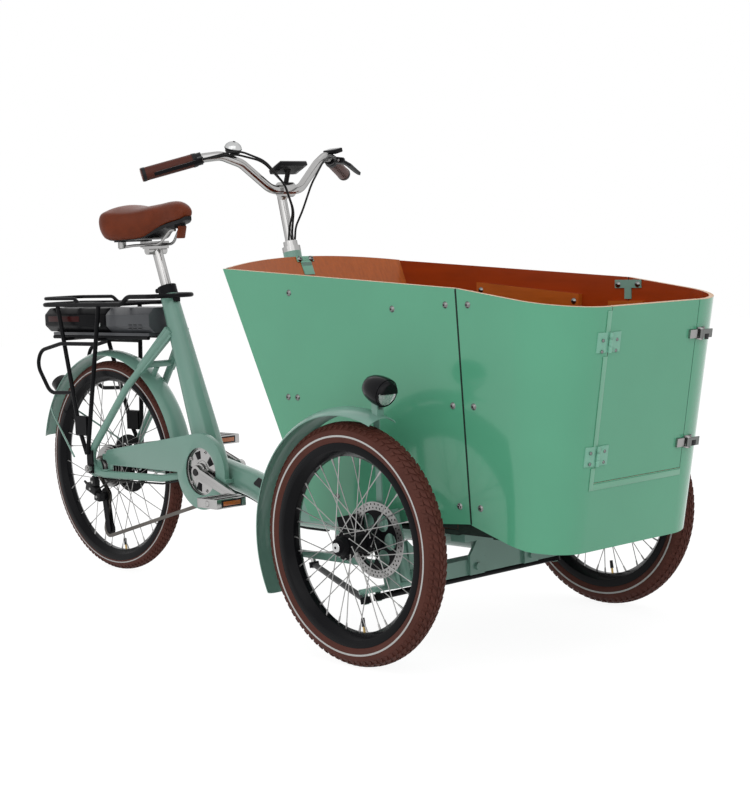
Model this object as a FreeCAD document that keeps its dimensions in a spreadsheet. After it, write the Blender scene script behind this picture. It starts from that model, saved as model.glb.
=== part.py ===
import FreeCAD, Part
import Sketcher
import math
import os
import re
from FreeCAD import Placement, Rotation, Vector

# Three-wheeled cargo cycle: a plywood box between two steered front wheels and one driven rear wheel.
# Millimetres. +X is forward, +Y is the rider's left, +Z is up, and the ground is z = 0.

doc = FreeCAD.newDocument("cargo_tricycle")

# Driving dimensions: alias, value, what it measures
SIZES = [
    ("front_axle_x", 608.35, "front axle ahead of the origin"),
    ("wheelbase", 1390.0, "front axle to rear axle"),
    ("track", 800.0, "between the front wheels' middle planes"),
    ("tyre_patch", 0.8, "flattening of a loaded tyre"),
    ("fit_gap", 0.2, "gap between seated pieces"),
    ("run_gap", 0.05, "radial clearance of a running fit"),
    ("free_gap", 0.5, "clearance beside a moving piece"),
    # wheels
    ("front_tyre_r", 253.0, "front tyre radius"),
    ("front_tyre_round", 27.0, "radius of the front tyre's section"),
    ("front_bead_r", 203.0, "front rim's bead seat"),
    ("front_rim_half", 16.0, "half width of the front rim"),
    ("rear_tyre_r", 287.0, "rear tyre radius"),
    ("rear_tyre_round", 19.5, "radius of the rear tyre's section"),
    ("rear_bead_r", 253.5, "rear rim's bead seat"),
    ("rear_rim_half", 15.0, "half width of the rear rim"),
    ("rim_depth", 30.0, "radial depth of a rim"),
    ("rim_wall", 11.0, "depth of a rim's flat brake wall"),
    ("rim_foot_half", 7.0, "half width of a rim at the spokes"),
    ("spoke_count", 36.0, "spokes in a wheel"),
    ("spoke_r", 1.1, "radius of a spoke"),
    ("spoke_cross_deg", 62.0, "turn of a spoke between hub and rim"),
    ("flange_t", 4.0, "thickness of a hub flange"),
    ("front_flange_r", 29.0, "front hub flange"),
    ("front_flange_half", 27.0, "front hub flange from the wheel's middle"),
    ("front_hub_r", 17.0, "front hub barrel"),
    ("front_hub_out", 44.0, "front hub's outer end from the wheel's middle"),
    ("front_hub_in", 60.0, "front hub's disc seat from the wheel's middle"),
    ("front_boss_r", 21.0, "front hub's disc seat radius"),
    ("stub_r", 10.0, "front stub axle"),
    ("hub_cap_r", 14.0, "front hub cap"),
    ("hub_cap_t", 8.0, "front hub cap's depth"),
    ("disc_r", 80.0, "brake disc"),
    ("disc_t", 1.8, "brake disc thickness"),
    ("disc_ring", 17.0, "radial width of the brake track"),
    ("disc_arm_count", 6.0, "windows in a brake disc"),
    ("rear_hub_r", 58.0, "rear hub motor"),
    ("rear_hub_half", 22.0, "rear hub motor's half width"),
    ("rear_hub_end", 54.0, "rear hub's outer end from the wheel's middle"),
    ("rear_disc_y", 44.0, "rear brake disc's seat"),
    ("rear_axle_r", 6.0, "rear axle"),
    ("rear_axle_half", 101.0, "half length of the rear axle"),
    ("axle_nut_r", 11.0, "rear axle nut"),
    ("axle_nut_t", 10.0, "rear axle nut's depth"),
    ("sprocket_count", 7.0, "rear sprockets"),
    ("sprocket_small_r", 24.0, "smallest rear sprocket"),
    ("sprocket_large_r", 57.0, "largest rear sprocket"),
    ("sprocket_start", 24.5, "inner end of the sprockets from the wheel's middle"),
    ("sprocket_pitch", 4.6, "spacing of the rear sprockets"),
    ("sprocket_t", 1.9, "thickness of a rear sprocket"),
    # steering geometry
    ("rake_deg", 12.3, "lean of the steering column and kingpins"),
    ("column_top_x", -620.0, "steering column at the head nut, from the front axle"),
    ("column_top_z", 864.0, "height of the head nut"),
    ("column_r", 14.0, "steering column tube"),
    ("head_tube_r", 22.0, "head tube"),
    ("head_bore_r", 17.0, "head tube's bore"),
    ("head_cup_t", 13.0, "height of a headset cup"),
    ("head_tube_len", 690.0, "head tube between its cups"),
    ("column_foot", 22.0, "steering column below the lower cup"),
    ("column_len", "=head_tube_len + 2 * head_cup_t + column_foot", "steering column below the head nut"),
    ("kingpin_in", 116.0, "kingpin inboard of the wheel"),
    ("kingpin_y", "=track / 2 - kingpin_in", "kingpin from the middle plane"),
    ("kingpin_r", 10.0, "kingpin"),
    ("kingpin_tube_r", 18.0, "kingpin tube on the axle beam"),
    ("kingpin_above", 45.0, "kingpin tube above the axle"),
    ("kingpin_below", 95.0, "kingpin tube below the axle"),
    ("knuckle_t", 11.0, "thickness of the knuckle's plates"),
    ("knuckle_half", 19.0, "half width of the knuckle's plates"),
    ("knuckle_reach", 27.0, "knuckle's upright from the kingpin"),
    ("arm_back", 85.0, "tie rod arm behind the kingpin"),
    ("drag_back", 60.0, "drag link arm behind the steering axis"),
    ("drag_side", 60.0, "drag link arm beside the steering axis"),
    ("arm_half", 12.0, "half width of a steering arm"),
    ("stud_r", 6.0, "ball stud"),
    ("stud_drop", 22.0, "ball stud below its arm"),
    ("rod_eye_r", 12.0, "rod end's eye"),
    ("rod_eye_t", 14.0, "rod end's height"),
    ("rod_r", 7.0, "tie rod and drag link tube"),
    ("open_eye_gap", 0.5, "clearance of an eye left open in the linkage"),
    ("beam_z", 147.0, "underside of the axle beam"),
    ("beam_high", 34.0, "axle beam's height"),
    ("beam_deep", 40.0, "axle beam's depth"),
    ("floor_stay_out", 109.0, "outer edge of a floor stay on the beam"),
    ("floor_stay_in", 65.0, "inner edge of a floor stay on the beam"),
    ("floor_stay_lean", 54.0, "shift of a floor stay towards the middle at the floor"),
    ("floor_stay_t", 7.0, "thickness of a floor stay"),
    # frame
    ("bottom_bracket_x", -940.0, "crank axis from the front axle"),
    ("bottom_bracket_z", 303.0, "height of the crank axis"),
    ("bracket_shell_r", 24.0, "bottom bracket shell"),
    ("bracket_shell_half", 34.0, "half width of the bottom bracket shell"),
    ("main_tube_r", 35.0, "main tube"),
    ("main_tube_z", 217.0, "main tube's height under the box"),
    ("main_tube_knee_x", -800.0, "upper bend of the main tube, from the front axle"),
    ("main_tube_knee_drop", 28.0, "upper bend of the main tube below the crank axis"),
    ("main_tube_flat_x", -640.0, "lower bend of the main tube, from the front axle"),
    ("main_tube_bend", 260.0, "bends of the main tube"),
    ("seat_top_x", -1116.0, "top of the seat tube from the front axle"),
    ("seat_top_z", 751.0, "height of the seat tube's top"),
    ("seat_foot_x", -957.0, "foot of the seat tube from the front axle"),
    ("seat_foot_r", 40.0, "seat tube at its foot"),
    ("seat_tube_r", 23.0, "seat tube at its top"),
    ("post_r", 13.6, "seat post"),
    ("post_out", 140.0, "seat post above the seat tube"),
    ("post_in", 190.0, "seat post inside the seat tube"),
    ("post_bore_deep", 300.0, "depth of the seat tube's bore"),
    ("collar_r", 25.0, "seat collar"),
    ("collar_t", 24.0, "height of the seat collar"),
    ("stay_r", 10.0, "seat stay and chain stay tube"),
    ("stay_y", 74.0, "stays beside the rear wheel"),
    ("stay_head_half", 17.0, "half width of a seat stay's flat head"),
    ("dropout_y", 64.0, "inner face of a dropout"),
    ("dropout_t", 9.0, "thickness of a dropout"),
    ("dropout_r", 24.0, "radius of a dropout"),
    ("bridge_r", 8.8, "bridge between the seat stays"),
    ("bridge_share", 0.6, "place of the bridge along the upper seat stay"),
    ("bearer_wide", 420.0, "width of a floor bearer"),
    ("bearer_deep", 40.0, "depth of a floor bearer"),
    # cargo box
    ("wall", 10.0, "plywood of the box"),
    ("floor_z", 262.0, "underside of the box floor"),
    ("floor_t", 12.0, "box floor"),
    ("box_low_z", 256.0, "lower rear corner of a side"),
    ("box_rear_z", 820.0, "rim at the rear corners"),
    ("box_seam_z", 768.0, "rim at the side seams"),
    ("box_seam_low_z", 290.0, "foot of the side seams"),
    ("box_front_z", 724.0, "rim at the front"),
    ("box_front_low_z", 234.0, "foot of the front"),
    ("box_room_top", 118.0, "box at the rear rim inboard of the wheels"),
    ("box_room_low", 145.0, "box at the foot inboard of the wheels"),
    ("box_half_top", "=track / 2 - box_room_top", "half width at the rear rim"),
    ("box_half_low", "=track / 2 - box_room_low", "half width at the foot"),
    ("box_rear_x", -535.0, "rear corner at the rim, from the front axle"),
    ("box_rear_low_x", -299.0, "rear corner at the foot, from the front axle"),
    ("box_seam_x", 195.0, "side seam from the front axle"),
    ("seam_gap", 2.0, "gap at the side seams"),
    ("box_front_x", 481.0, "front face at its rim, from the front axle"),
    ("box_front_low_x", 394.0, "front face at its foot, from the front axle"),
    ("box_flat_half", 143.0, "half width of the flat front face"),
    ("rear_bow", 42.0, "bow of the rear panel at the rim"),
    ("rear_bow_low", 20.0, "bow of the rear panel at the foot"),
    ("rear_arch", 20.0, "rise of the rear rim at its middle"),
    ("door_half", 139.0, "half width of the door"),
    ("door_low_z", 376.0, "foot of the door"),
    ("door_gap", 1.2, "gap round the door"),
    ("hinge_high", 40.0, "height of a door hinge"),
    ("hinge_wide", 33.0, "width of a hinge leaf"),
    ("hinge_t", 2.0, "hinge leaf"),
    ("hinge_barrel_r", 4.0, "hinge barrel"),
    ("hinge_pin_r", 2.0, "hinge pin"),
    ("hinge_upper_z", 655.0, "upper hinge and latch"),
    ("hinge_lower_z", 430.0, "lower hinge and latch"),
    ("latch_wide", 36.0, "length of a latch lever"),
    ("latch_high", 18.0, "width of a latch lever"),
    ("latch_t", 3.0, "thickness of a latch lever"),
    ("latch_post", 8.0, "latch pivot in front of the face"),
    ("bolt_r", 7.0, "dome bolt head"),
    ("bolt_t", 4.0, "height of a dome bolt head"),
    ("batten_t", 12.0, "thickness of an inner batten"),
    ("batten_half", 48.0, "half the width of a seam batten"),
    ("side_rail_back_x", -252.0, "rear end of a side rail, from the front axle"),
    ("side_rail_front_x", 62.0, "front end of a side rail, from the front axle"),
    ("side_rail_back_z", 762.0, "top of a side rail at its rear end"),
    ("side_rail_front_z", 732.0, "top of a side rail at its front end"),
    ("side_rail_high", 58.0, "height of a side rail"),
    # drive
    ("crank_len", 170.0, "crank arm"),
    ("crank_deg", -19.5, "right crank at rest, from straight ahead"),
    ("crank_y", 64.0, "inner face of a crank arm"),
    ("crank_t", 13.0, "thickness of a crank arm"),
    ("crank_boss_r", 17.0, "crank arm at the spindle"),
    ("crank_eye_r", 13.0, "crank arm at the pedal"),
    ("spindle_r", 12.0, "crank spindle"),
    ("chain_y", 48.95, "chain line"),
    ("ring_r", 82.0, "chainring's outer radius"),
    ("ring_inner_r", 58.0, "chainring's inner radius"),
    ("ring_t", 2.6, "chainring thickness"),
    ("chain_high", 9.0, "height of the chain"),
    ("chain_plate", 1.4, "chain side plate"),
    ("chain_slot", 3.6, "space between the chain's side plates"),
    ("chain_pitch", 12.7, "chain pitch"),
    ("drive_sprocket", 5.0, "step of the sprockets that the chain runs on"),
    ("jockey_r", 22.0, "derailleur wheel"),
    ("guard_r", 98.0, "chain guard round the chainring"),
    ("guard_hole_r", 61.0, "opening of the chain guard"),
    ("guard_tail_r", 21.0, "rear end of the chain guard"),
    ("guard_tail_x", -1335.0, "rear end of the chain guard, from the front axle"),
    ("guard_y", 58.0, "inner face of the chain guard"),
    ("guard_t", 2.5, "chain guard sheet"),
    ("pedal_long", 92.0, "pedal along its axle"),
    ("pedal_deep", 78.0, "pedal fore and aft"),
    ("pedal_high", 24.0, "pedal height"),
    ("pedal_wall", 6.0, "pedal cage"),
    ("pedal_axle_r", 7.0, "pedal axle"),
    # fenders
    ("fender_t", 2.4, "fender sheet"),
    ("front_fender_r", 284.0, "front fender's crown"),
    ("front_fender_half", 37.0, "half width of a front fender"),
    ("front_fender_drop", 14.0, "front fender's edge below its crown"),
    ("front_fender_from_deg", 69.0, "front end of a front fender"),
    ("front_fender_to_deg", 207.0, "rear end of a front fender"),
    ("rear_fender_r", 317.0, "rear fender's crown"),
    ("rear_fender_half", 31.0, "half width of the rear fender"),
    ("rear_fender_drop", 11.0, "rear fender's edge below its crown"),
    ("rear_fender_from_deg", 15.0, "front end of the rear fender"),
    ("rear_fender_to_deg", 167.0, "rear end of the rear fender"),
    ("stay_bar", 16.0, "width of a fender stay"),
    ("stay_bar_t", 4.0, "thickness of a fender stay"),
    # rack and battery
    ("rack_r", 6.0, "rack tube"),
    ("rack_foot_t", 4.0, "rack foot plate"),
    ("rack_half", 68.0, "half width of the rack"),
    ("rack_z", 730.0, "rack deck"),
    ("rack_tail_x", -1625.0, "rack tail, from the front axle"),
    ("rack_nose_x", -1082.0, "rack nose, from the front axle"),
    ("rack_shelf_z", 640.0, "battery shelf"),
    ("battery_half", 52.0, "half width of the battery"),
    ("battery_high", 66.0, "height of the battery"),
    ("battery_tail_x", -1628.0, "battery tail, from the front axle"),
    ("battery_nose_x", -1335.0, "battery nose, from the front axle"),
    ("controller_nose_x", -1139.0, "controller nose, from the front axle"),
    ("battery_corner", 18.0, "corners of the battery case"),
    ("tray_t", 8.0, "battery tray"),
    # cockpit
    ("quill_r", 11.2, "stem quill"),
    ("quill_len", 134.0, "stem quill above the head nut"),
    ("bar_r", 11.1, "handlebar tube"),
    ("bar_x", -631.0, "handlebar at its clamp, from the front axle"),
    ("bar_z", 1002.0, "height of the bar clamp"),
    ("bar_bend", 45.0, "bends of the handlebar"),
    ("bar_clamp_r", 18.0, "stem's bar clamp"),
    ("bar_clamp_half", 20.0, "half width of the bar clamp"),
    ("grip_r", 16.0, "handlebar grip"),
    ("grip_len", 128.0, "handlebar grip's length"),
    ("grip_end_x", -769.0, "grip end, from the front axle"),
    ("grip_end_y", 320.0, "grip end from the middle plane"),
    ("grip_end_z", 1046.0, "height of the grip end"),
    ("perch_t", 14.0, "brake lever clamp"),
    ("lever_reach", 44.0, "brake lever ahead of the grip"),
    ("lever_len", 112.0, "brake lever"),
    ("lever_t", 8.0, "brake lever's thickness"),
    ("cable_r", 2.5, "brake and gear cables"),
    # saddle
    ("saddle_nose_x", -1018.0, "saddle nose, from the front axle"),
    ("saddle_len", 274.0, "saddle length"),
    ("saddle_half", 103.0, "half width of the saddle"),
    ("saddle_nose_half", 24.0, "half width of the saddle's nose"),
    ("saddle_top_z", 996.0, "height of the saddle's top"),
    ("saddle_low_z", 908.0, "underside of the saddle cover"),
    ("saddle_base_t", 9.0, "saddle base"),
    ("saddle_seat_gap", 1.25, "saddle cover above its base"),
    ("rail_r", 3.6, "saddle rail"),
    ("rail_y", 22.0, "saddle rail from the middle plane"),
    ("rail_z", 884.0, "height of the saddle rails"),
    # lamps
    ("lamp_r", 24.0, "headlight"),
    ("lamp_len", 52.0, "headlight body"),
    ("lamp_x", 84.0, "headlight pivot ahead of the front axle"),
    ("lamp_z", 574.0, "height of the headlight pivot"),
    ("tail_lamp_r", 25.0, "tail lamp"),
    ("tail_lamp_t", 24.0, "tail lamp's depth"),
]

sheet = doc.addObject("Spreadsheet::Sheet", "sizes")
for row, (alias, value, meaning) in enumerate(SIZES, start=1):
    sheet.set("A%d" % row, meaning)
    sheet.set("B%d" % row, str(value))
    sheet.setAlias("B%d" % row, alias)
doc.recompute()
ALIASES = {alias for alias, value, meaning in SIZES}


class SheetValues:
    """Reads a driving dimension back from the spreadsheet by its alias."""

    def __getattr__(self, alias):
        return float(sheet.get(alias))


d = SheetValues()
nodes = []


def keep(feature, label):
    """Give a finished piece its name and put it on the list that is written out."""
    feature.Label = label
    nodes.append(feature)
    return feature


def bind(expression):
    """Write an expression on aliases as one on the spreadsheet's cells."""
    return re.sub(r"[a-z_]\w*", lambda word: "sizes." + word.group()
                  if word.group() in ALIASES else word.group(), expression)


def number(expression):
    """Value that an expression on aliases has now."""
    return float(sheet.evalExpression(bind(expression)))


def on_axle(x, y, z):
    """Point measured from the front axle along X, in the model's frame."""
    return Vector(d.front_axle_x + x, y, z)


# Shared ways of making a piece

def body_sketch(label, role):
    """New body with a sketch on one of its own origin planes."""
    body = doc.addObject("PartDesign::Body", label)
    sketch = body.newObject("Sketcher::SketchObject", label + "_sketch")
    plane = [item for item in body.Origin.OriginFeatures if item.Role == role][0]
    sketch.AttachmentSupport = [(plane, "")]
    sketch.MapMode = "FlatFace"
    return body, sketch


def fix_point(sketch, line, end, across, up):
    """Hold one end of a sketch line at two expressions from the sketch's origin."""
    for kind, axis, expression in (("DistanceX", -2, across), ("DistanceY", -1, up)):
        if expression == "0":
            sketch.addConstraint(Sketcher.Constraint("PointOnObject", line, end, axis))
            continue
        index = sketch.addConstraint(Sketcher.Constraint(kind, -1, 1, line, end, number(expression)))
        sketch.setExpression("Constraints[%d]" % index, bind(expression))


def draw_outline(sketch, corners):
    """Closed outline of straight lines whose corners are pairs of expressions."""
    spots = [Vector(number(across), number(up), 0) for across, up in corners]
    first = sketch.GeometryCount
    count = len(spots)
    for index, spot in enumerate(spots):
        sketch.addGeometry(Part.LineSegment(spot, spots[(index + 1) % count]), False)
    for index in range(count):
        following = first + (index + 1) % count
        sketch.addConstraint(Sketcher.Constraint("Coincident", first + index, 2, following, 1))
    for index, (across, up) in enumerate(corners):
        fix_point(sketch, first + index, 1, across, up)


def draw_circle(sketch, across, up, radius):
    """Circle in a sketch with its middle and radius bound to expressions."""
    middle = Vector(number(across), number(up), 0)
    index = sketch.addGeometry(Part.Circle(middle, Vector(0, 0, 1), number(radius)), False)
    fix_point(sketch, index, 3, across, up)
    rule = sketch.addConstraint(Sketcher.Constraint("Radius", index, number(radius)))
    sketch.setExpression("Constraints[%d]" % rule, bind(radius))


def turned(label, corners, place):
    """Body turned round its own Y axis from an outline of (radius, along Y) corners."""
    body, sketch = body_sketch(label, "XY_Plane")
    draw_outline(sketch, corners)
    turn = body.newObject("PartDesign::Revolution", label + "_turn")
    turn.Profile = sketch
    turn.ReferenceAxis = (sketch, ["V_Axis"])
    turn.Angle = 360.0
    body.Tip = turn
    body.Placement = place
    return body


def padded(label, role, corners, thickness, place, backwards=False):
    """Flat plate padded from an outline on one of its body's own planes."""
    body, sketch = body_sketch(label, role)
    draw_outline(sketch, corners)
    pad = body.newObject("PartDesign::Pad", label + "_pad")
    pad.Profile = sketch
    pad.setExpression("Length", bind(thickness))
    pad.Reversed = backwards
    body.Tip = pad
    body.Placement = place
    return body


def solid_piece(label, shape):
    """Piece whose shape is worked out from the sheet's values."""
    feature = doc.addObject("Part::Feature", label)
    feature.Shape = shape
    return feature


def mirrored(source, label):
    """Left-hand twin of a right-hand piece."""
    twin = doc.addObject("Part::Mirroring", label)
    twin.Source = source
    twin.Normal = Vector(0, 1, 0)
    twin.Base = Vector(0, 0, 0)
    return keep(twin, label)


def rounded_path(points, bend):
    """Wire of straight runs joined by tangent arcs, none larger than its runs allow."""
    edges = []
    start = points[0]
    for before, corner, after in zip(points, points[1:], points[2:]):
        into = (corner - before).normalize()
        out = (after - corner).normalize()
        half = into.getAngle(out) / 2
        if half < 0.01:
            continue
        room = 0.48 * min(corner.distanceToPoint(before), corner.distanceToPoint(after))
        setback = min(bend * math.tan(half), room)
        radius = setback / math.tan(half)
        leave = corner - into * setback
        join = corner + out * setback
        inward = (out - into).normalize()
        middle = corner + inward * (radius / math.cos(half) - radius)
        if start.distanceToPoint(leave) > 1e-3:
            edges.append(Part.LineSegment(start, leave).toShape())
        edges.append(Part.Arc(leave, middle, join).toShape())
        start = join
    edges.append(Part.LineSegment(start, points[-1]).toShape())
    return Part.Wire(edges)


def tube(points, radius, bend=30.0):
    """Round bar along a path of points."""
    path = rounded_path(points, bend)
    ring = Part.Wire(Part.makeCircle(radius, points[0], points[1] - points[0]))
    return path.makePipeShell([ring], True, False)


def rod(start, end, radius, end_radius=None):
    """Straight bar, tapered where it has a second radius."""
    along = end - start
    if end_radius is None:
        return Part.makeCylinder(radius, along.Length, start, along)
    return Part.makeCone(radius, end_radius, along.Length, start, along)


def block(low, high):
    """Upright box between two corners."""
    return Part.makeBox(high.x - low.x, high.y - low.y, high.z - low.z, low)


def ring(start, end, outer, inner):
    """Straight sleeve with a bore."""
    return rod(start, end, outer).cut(rod(start, end, inner))


def plate(points, push):
    """Flat plate with straight edges, pushed out along a vector."""
    return Part.Face(Part.makePolygon(points + [points[0]])).extrude(push)


def joined(shapes):
    """One welded solid from overlapping shapes."""
    return shapes[0].multiFuse(shapes[1:]).removeSplitter()


def group(shapes):
    """Separate solids under one name."""
    return Part.makeCompound(shapes)


def flipped(points):
    """Points mirrored to the other side of the middle plane."""
    return [Vector(point.x, -point.y, point.z) for point in points]


# Places that several pieces share
rake = math.radians(d.rake_deg)
tilt = Rotation(Vector(0, 1, 0), -d.rake_deg)
axle_z = d.front_tyre_r - d.tyre_patch
rear_axle_z = d.rear_tyre_r - d.tyre_patch
wheel_right = on_axle(0, -d.track / 2, axle_z)
rear_axle = on_axle(-d.wheelbase, 0, rear_axle_z)
crank_axis = on_axle(d.bottom_bracket_x, 0, d.bottom_bracket_z)
kingpin_right = Placement(on_axle(0, -d.kingpin_y, axle_z), tilt)
column = Placement(on_axle(d.column_top_x, 0, d.column_top_z), tilt)
axis_y = Vector(0, 1, 0)


def turn_about(shape, place):
    """Copy of a shape moved into a tilted frame."""
    copy = shape.copy()
    copy.Placement = place.multiply(copy.Placement)
    return copy


# Wheels

def tyre(label, radius, round_r, bead, place):
    """Tyre: a round section standing on the rim's bead seat, flattened where it meets the ground."""
    body, sketch = body_sketch(label + "_ring", "XY_Plane")
    middle = number(radius + " - " + round_r)
    half = math.sqrt(number(round_r) ** 2 - (middle - number(bead)) ** 2)
    open_angle = math.atan2(half, number(bead) - middle)
    circle = Part.Circle(Vector(middle, 0, 0), Vector(0, 0, 1), number(round_r))
    arc = sketch.addGeometry(Part.ArcOfCircle(circle, -open_angle, open_angle), False)
    chord = sketch.addGeometry(Part.LineSegment(Vector(number(bead), half, 0),
                                                Vector(number(bead), -half, 0)), False)
    sketch.addConstraint(Sketcher.Constraint("Coincident", arc, 2, chord, 1))
    sketch.addConstraint(Sketcher.Constraint("Coincident", arc, 1, chord, 2))
    sketch.addConstraint(Sketcher.Constraint("Vertical", chord))
    fix_point(sketch, arc, 3, radius + " - " + round_r, "0")
    rule = sketch.addConstraint(Sketcher.Constraint("Radius", arc, number(round_r)))
    sketch.setExpression("Constraints[%d]" % rule, bind(round_r))
    rule = sketch.addConstraint(Sketcher.Constraint("DistanceX", -1, 1, chord, 1, number(bead)))
    sketch.setExpression("Constraints[%d]" % rule, bind(bead))
    turn = body.newObject("PartDesign::Revolution", label + "_turn")
    turn.Profile = sketch
    turn.ReferenceAxis = (sketch, ["V_Axis"])
    turn.Angle = 360.0
    body.Tip = turn
    body.Placement = Placement(place, Rotation())
    ground = doc.addObject("Part::Box", label + "_ground")
    ground.setExpression("Length", bind("2 * " + radius))
    ground.setExpression("Width", bind("4 * " + round_r))
    ground.setExpression("Height", bind(round_r))
    ground.Placement.Base = place - Vector(number(radius), 2 * number(round_r), place.z + number(round_r))
    cut = doc.addObject("Part::Cut", label)
    cut.Base = body
    cut.Tool = ground
    return keep(cut, label)


def spokes(rim_r, flange_r, flange_half):
    """Laced spokes: each side leaves its flange in turn from the outer and the inner face."""
    count = int(d.spoke_count)
    bars = []
    for index in range(count):
        side = 1 if index % 2 else -1
        lean = 1 if (index // 2) % 2 else -1
        at_rim = 2 * math.pi * index / count
        at_hub = at_rim + lean * math.radians(d.spoke_cross_deg)
        face = flange_half + lean * (d.flange_t * 0.75 + d.spoke_r + d.fit_gap)
        seat = flange_r - 3 * d.spoke_r
        start = Vector(seat * math.cos(at_hub), side * face, seat * math.sin(at_hub))
        foot = side * (d.rim_foot_half - 3 * d.spoke_r)
        end = Vector(rim_r * math.cos(at_rim), foot, rim_r * math.sin(at_rim))
        along = end - start
        across = along.cross(axis_y).normalize() * d.spoke_r
        sides = [start + Rotation(along, 60 * turn).multVec(across) for turn in range(6)]
        bars.append(plate(sides, along))
    return bars


def laced_rim(label, bead, rim_half, flange_r, flange_half, place):
    """Rim of deep section with its spokes."""
    outer = bead + " - fit_gap"
    corners = [(outer, "-" + rim_half), (outer, rim_half), (outer + " - rim_wall", rim_half),
               (outer + " - rim_depth", "rim_foot_half"), (outer + " - rim_depth", "-rim_foot_half"),
               (outer + " - rim_wall", "-" + rim_half)]
    body = turned(label + "_hoop", corners, Placement())
    doc.recompute()
    bars = spokes(number(outer + " - rim_depth - fit_gap"), flange_r, flange_half)
    feature = solid_piece(label, group([body.Shape] + bars))
    feature.Placement = Placement(place, Rotation())
    return keep(feature, label)


def brake_disc(seat_r):
    """Brake disc lying in its own XZ plane: a track on arms between windows."""
    inner = d.disc_r - d.disc_ring
    disc = rod(Vector(0, 0, 0), Vector(0, d.disc_t, 0), d.disc_r)
    disc = disc.cut(rod(Vector(0, 0, 0), Vector(0, d.disc_t, 0), d.stub_r + d.run_gap + d.free_gap))
    count = int(d.disc_arm_count)
    window = (inner - seat_r) * 0.42
    middle = (inner + seat_r) / 2
    for index in range(count):
        angle = 2 * math.pi * index / count
        spot = Vector(middle * math.cos(angle), 0, middle * math.sin(angle))
        disc = disc.cut(rod(spot, spot + Vector(0, d.disc_t, 0), window))
    return disc


def front_hub(label, place):
    """Front hub on its stub axle, with the brake disc inboard and the cap outboard."""
    corners = [("stub_r + run_gap", "-front_hub_out"), ("front_hub_r", "-front_hub_out"),
               ("front_hub_r", "-front_flange_half - flange_t"),
               ("front_flange_r", "-front_flange_half - flange_t / 2"),
               ("front_flange_r", "-front_flange_half + flange_t / 2"),
               ("front_hub_r", "-front_flange_half + flange_t"),
               ("front_hub_r", "front_flange_half - flange_t"),
               ("front_flange_r", "front_flange_half - flange_t / 2"),
               ("front_flange_r", "front_flange_half + flange_t / 2"),
               ("front_boss_r", "front_flange_half + flange_t"),
               ("front_boss_r", "front_hub_in"), ("stub_r + run_gap", "front_hub_in")]
    body = turned(label + "_shell", corners, Placement())
    doc.recompute()
    disc = brake_disc(d.front_boss_r)
    disc.translate(Vector(0, d.front_hub_in, 0))
    outer = Vector(0, -d.front_hub_out, 0)
    cap = rod(outer, outer - Vector(0, d.hub_cap_t, 0), d.hub_cap_r, d.hub_cap_r - d.hub_cap_t / 3)
    feature = solid_piece(label, group([body.Shape, disc, cap]))
    feature.Placement = Placement(place, Rotation())
    return keep(feature, label)


tyre_right = tyre("front_tyre_right", "front_tyre_r", "front_tyre_round", "front_bead_r", wheel_right)
rim_right = laced_rim("front_rim_spokes_right", "front_bead_r", "front_rim_half", d.front_flange_r,
                      d.front_flange_half, wheel_right)
hub_right = front_hub("front_hub_right", wheel_right)
tyre("rear_tyre", "rear_tyre_r", "rear_tyre_round", "rear_bead_r", rear_axle)
laced_rim("rear_rim_spokes", "rear_bead_r", "rear_rim_half", d.rear_hub_r,
          d.rear_hub_half - d.flange_t, rear_axle)


def rear_hub():
    """Hub motor with its flanges, a freewheel barrel on the right and the disc on the left."""
    bore = "rear_axle_r + run_gap"
    corners = [(bore, "-rear_hub_end"), ("sprocket_small_r - 8", "-rear_hub_end"),
               ("sprocket_small_r - 8", "-rear_hub_half"),
               ("rear_hub_r - 14", "-rear_hub_half"), ("rear_hub_r - 8", "-rear_hub_half + flange_t / 2"),
               ("rear_hub_r", "-rear_hub_half + flange_t / 2"),
               ("rear_hub_r", "-rear_hub_half + 3 * flange_t / 2"),
               ("rear_hub_r - 8", "-rear_hub_half + 3 * flange_t / 2"),
               ("rear_hub_r - 8", "rear_hub_half - 3 * flange_t / 2"),
               ("rear_hub_r", "rear_hub_half - 3 * flange_t / 2"),
               ("rear_hub_r", "rear_hub_half - flange_t / 2"),
               ("rear_hub_r - 8", "rear_hub_half - flange_t / 2"), ("rear_hub_r - 14", "rear_hub_half"),
               ("front_boss_r", "rear_hub_half"), ("front_boss_r", "rear_disc_y"),
               (bore, "rear_disc_y")]
    body = turned("rear_hub_shell", corners, Placement())
    doc.recompute()
    disc = brake_disc(d.front_boss_r)
    disc.translate(Vector(0, d.rear_disc_y, 0))
    feature = solid_piece("rear_hub", group([body.Shape, disc]))
    feature.Placement = Placement(rear_axle, Rotation())
    return keep(feature, "rear_hub")


rear_hub()


def sprockets():
    """Stepped sprockets on a freewheel sleeve that turns round the hub's barrel."""
    count = int(d.sprocket_count)
    barrel = d.sprocket_small_r - 8 + d.run_gap
    sleeve_r = barrel + 5
    inner = -d.sprocket_start
    outer = inner - count * d.sprocket_pitch
    pieces = [rod(Vector(0, inner, 0), Vector(0, outer, 0), sleeve_r)]
    step = (d.sprocket_large_r - d.sprocket_small_r) / (count - 1)
    for index in range(count):
        y = inner - index * d.sprocket_pitch - d.free_gap
        radius = d.sprocket_large_r - index * step
        pieces.append(rod(Vector(0, y, 0), Vector(0, y - d.sprocket_t, 0), radius))
    shape = joined(pieces).cut(rod(Vector(0, inner + 1, 0), Vector(0, outer - 1, 0), barrel))
    feature = solid_piece("sprockets", shape)
    feature.Placement = Placement(rear_axle, Rotation())
    return keep(feature, "sprockets")


sprockets()


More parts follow.
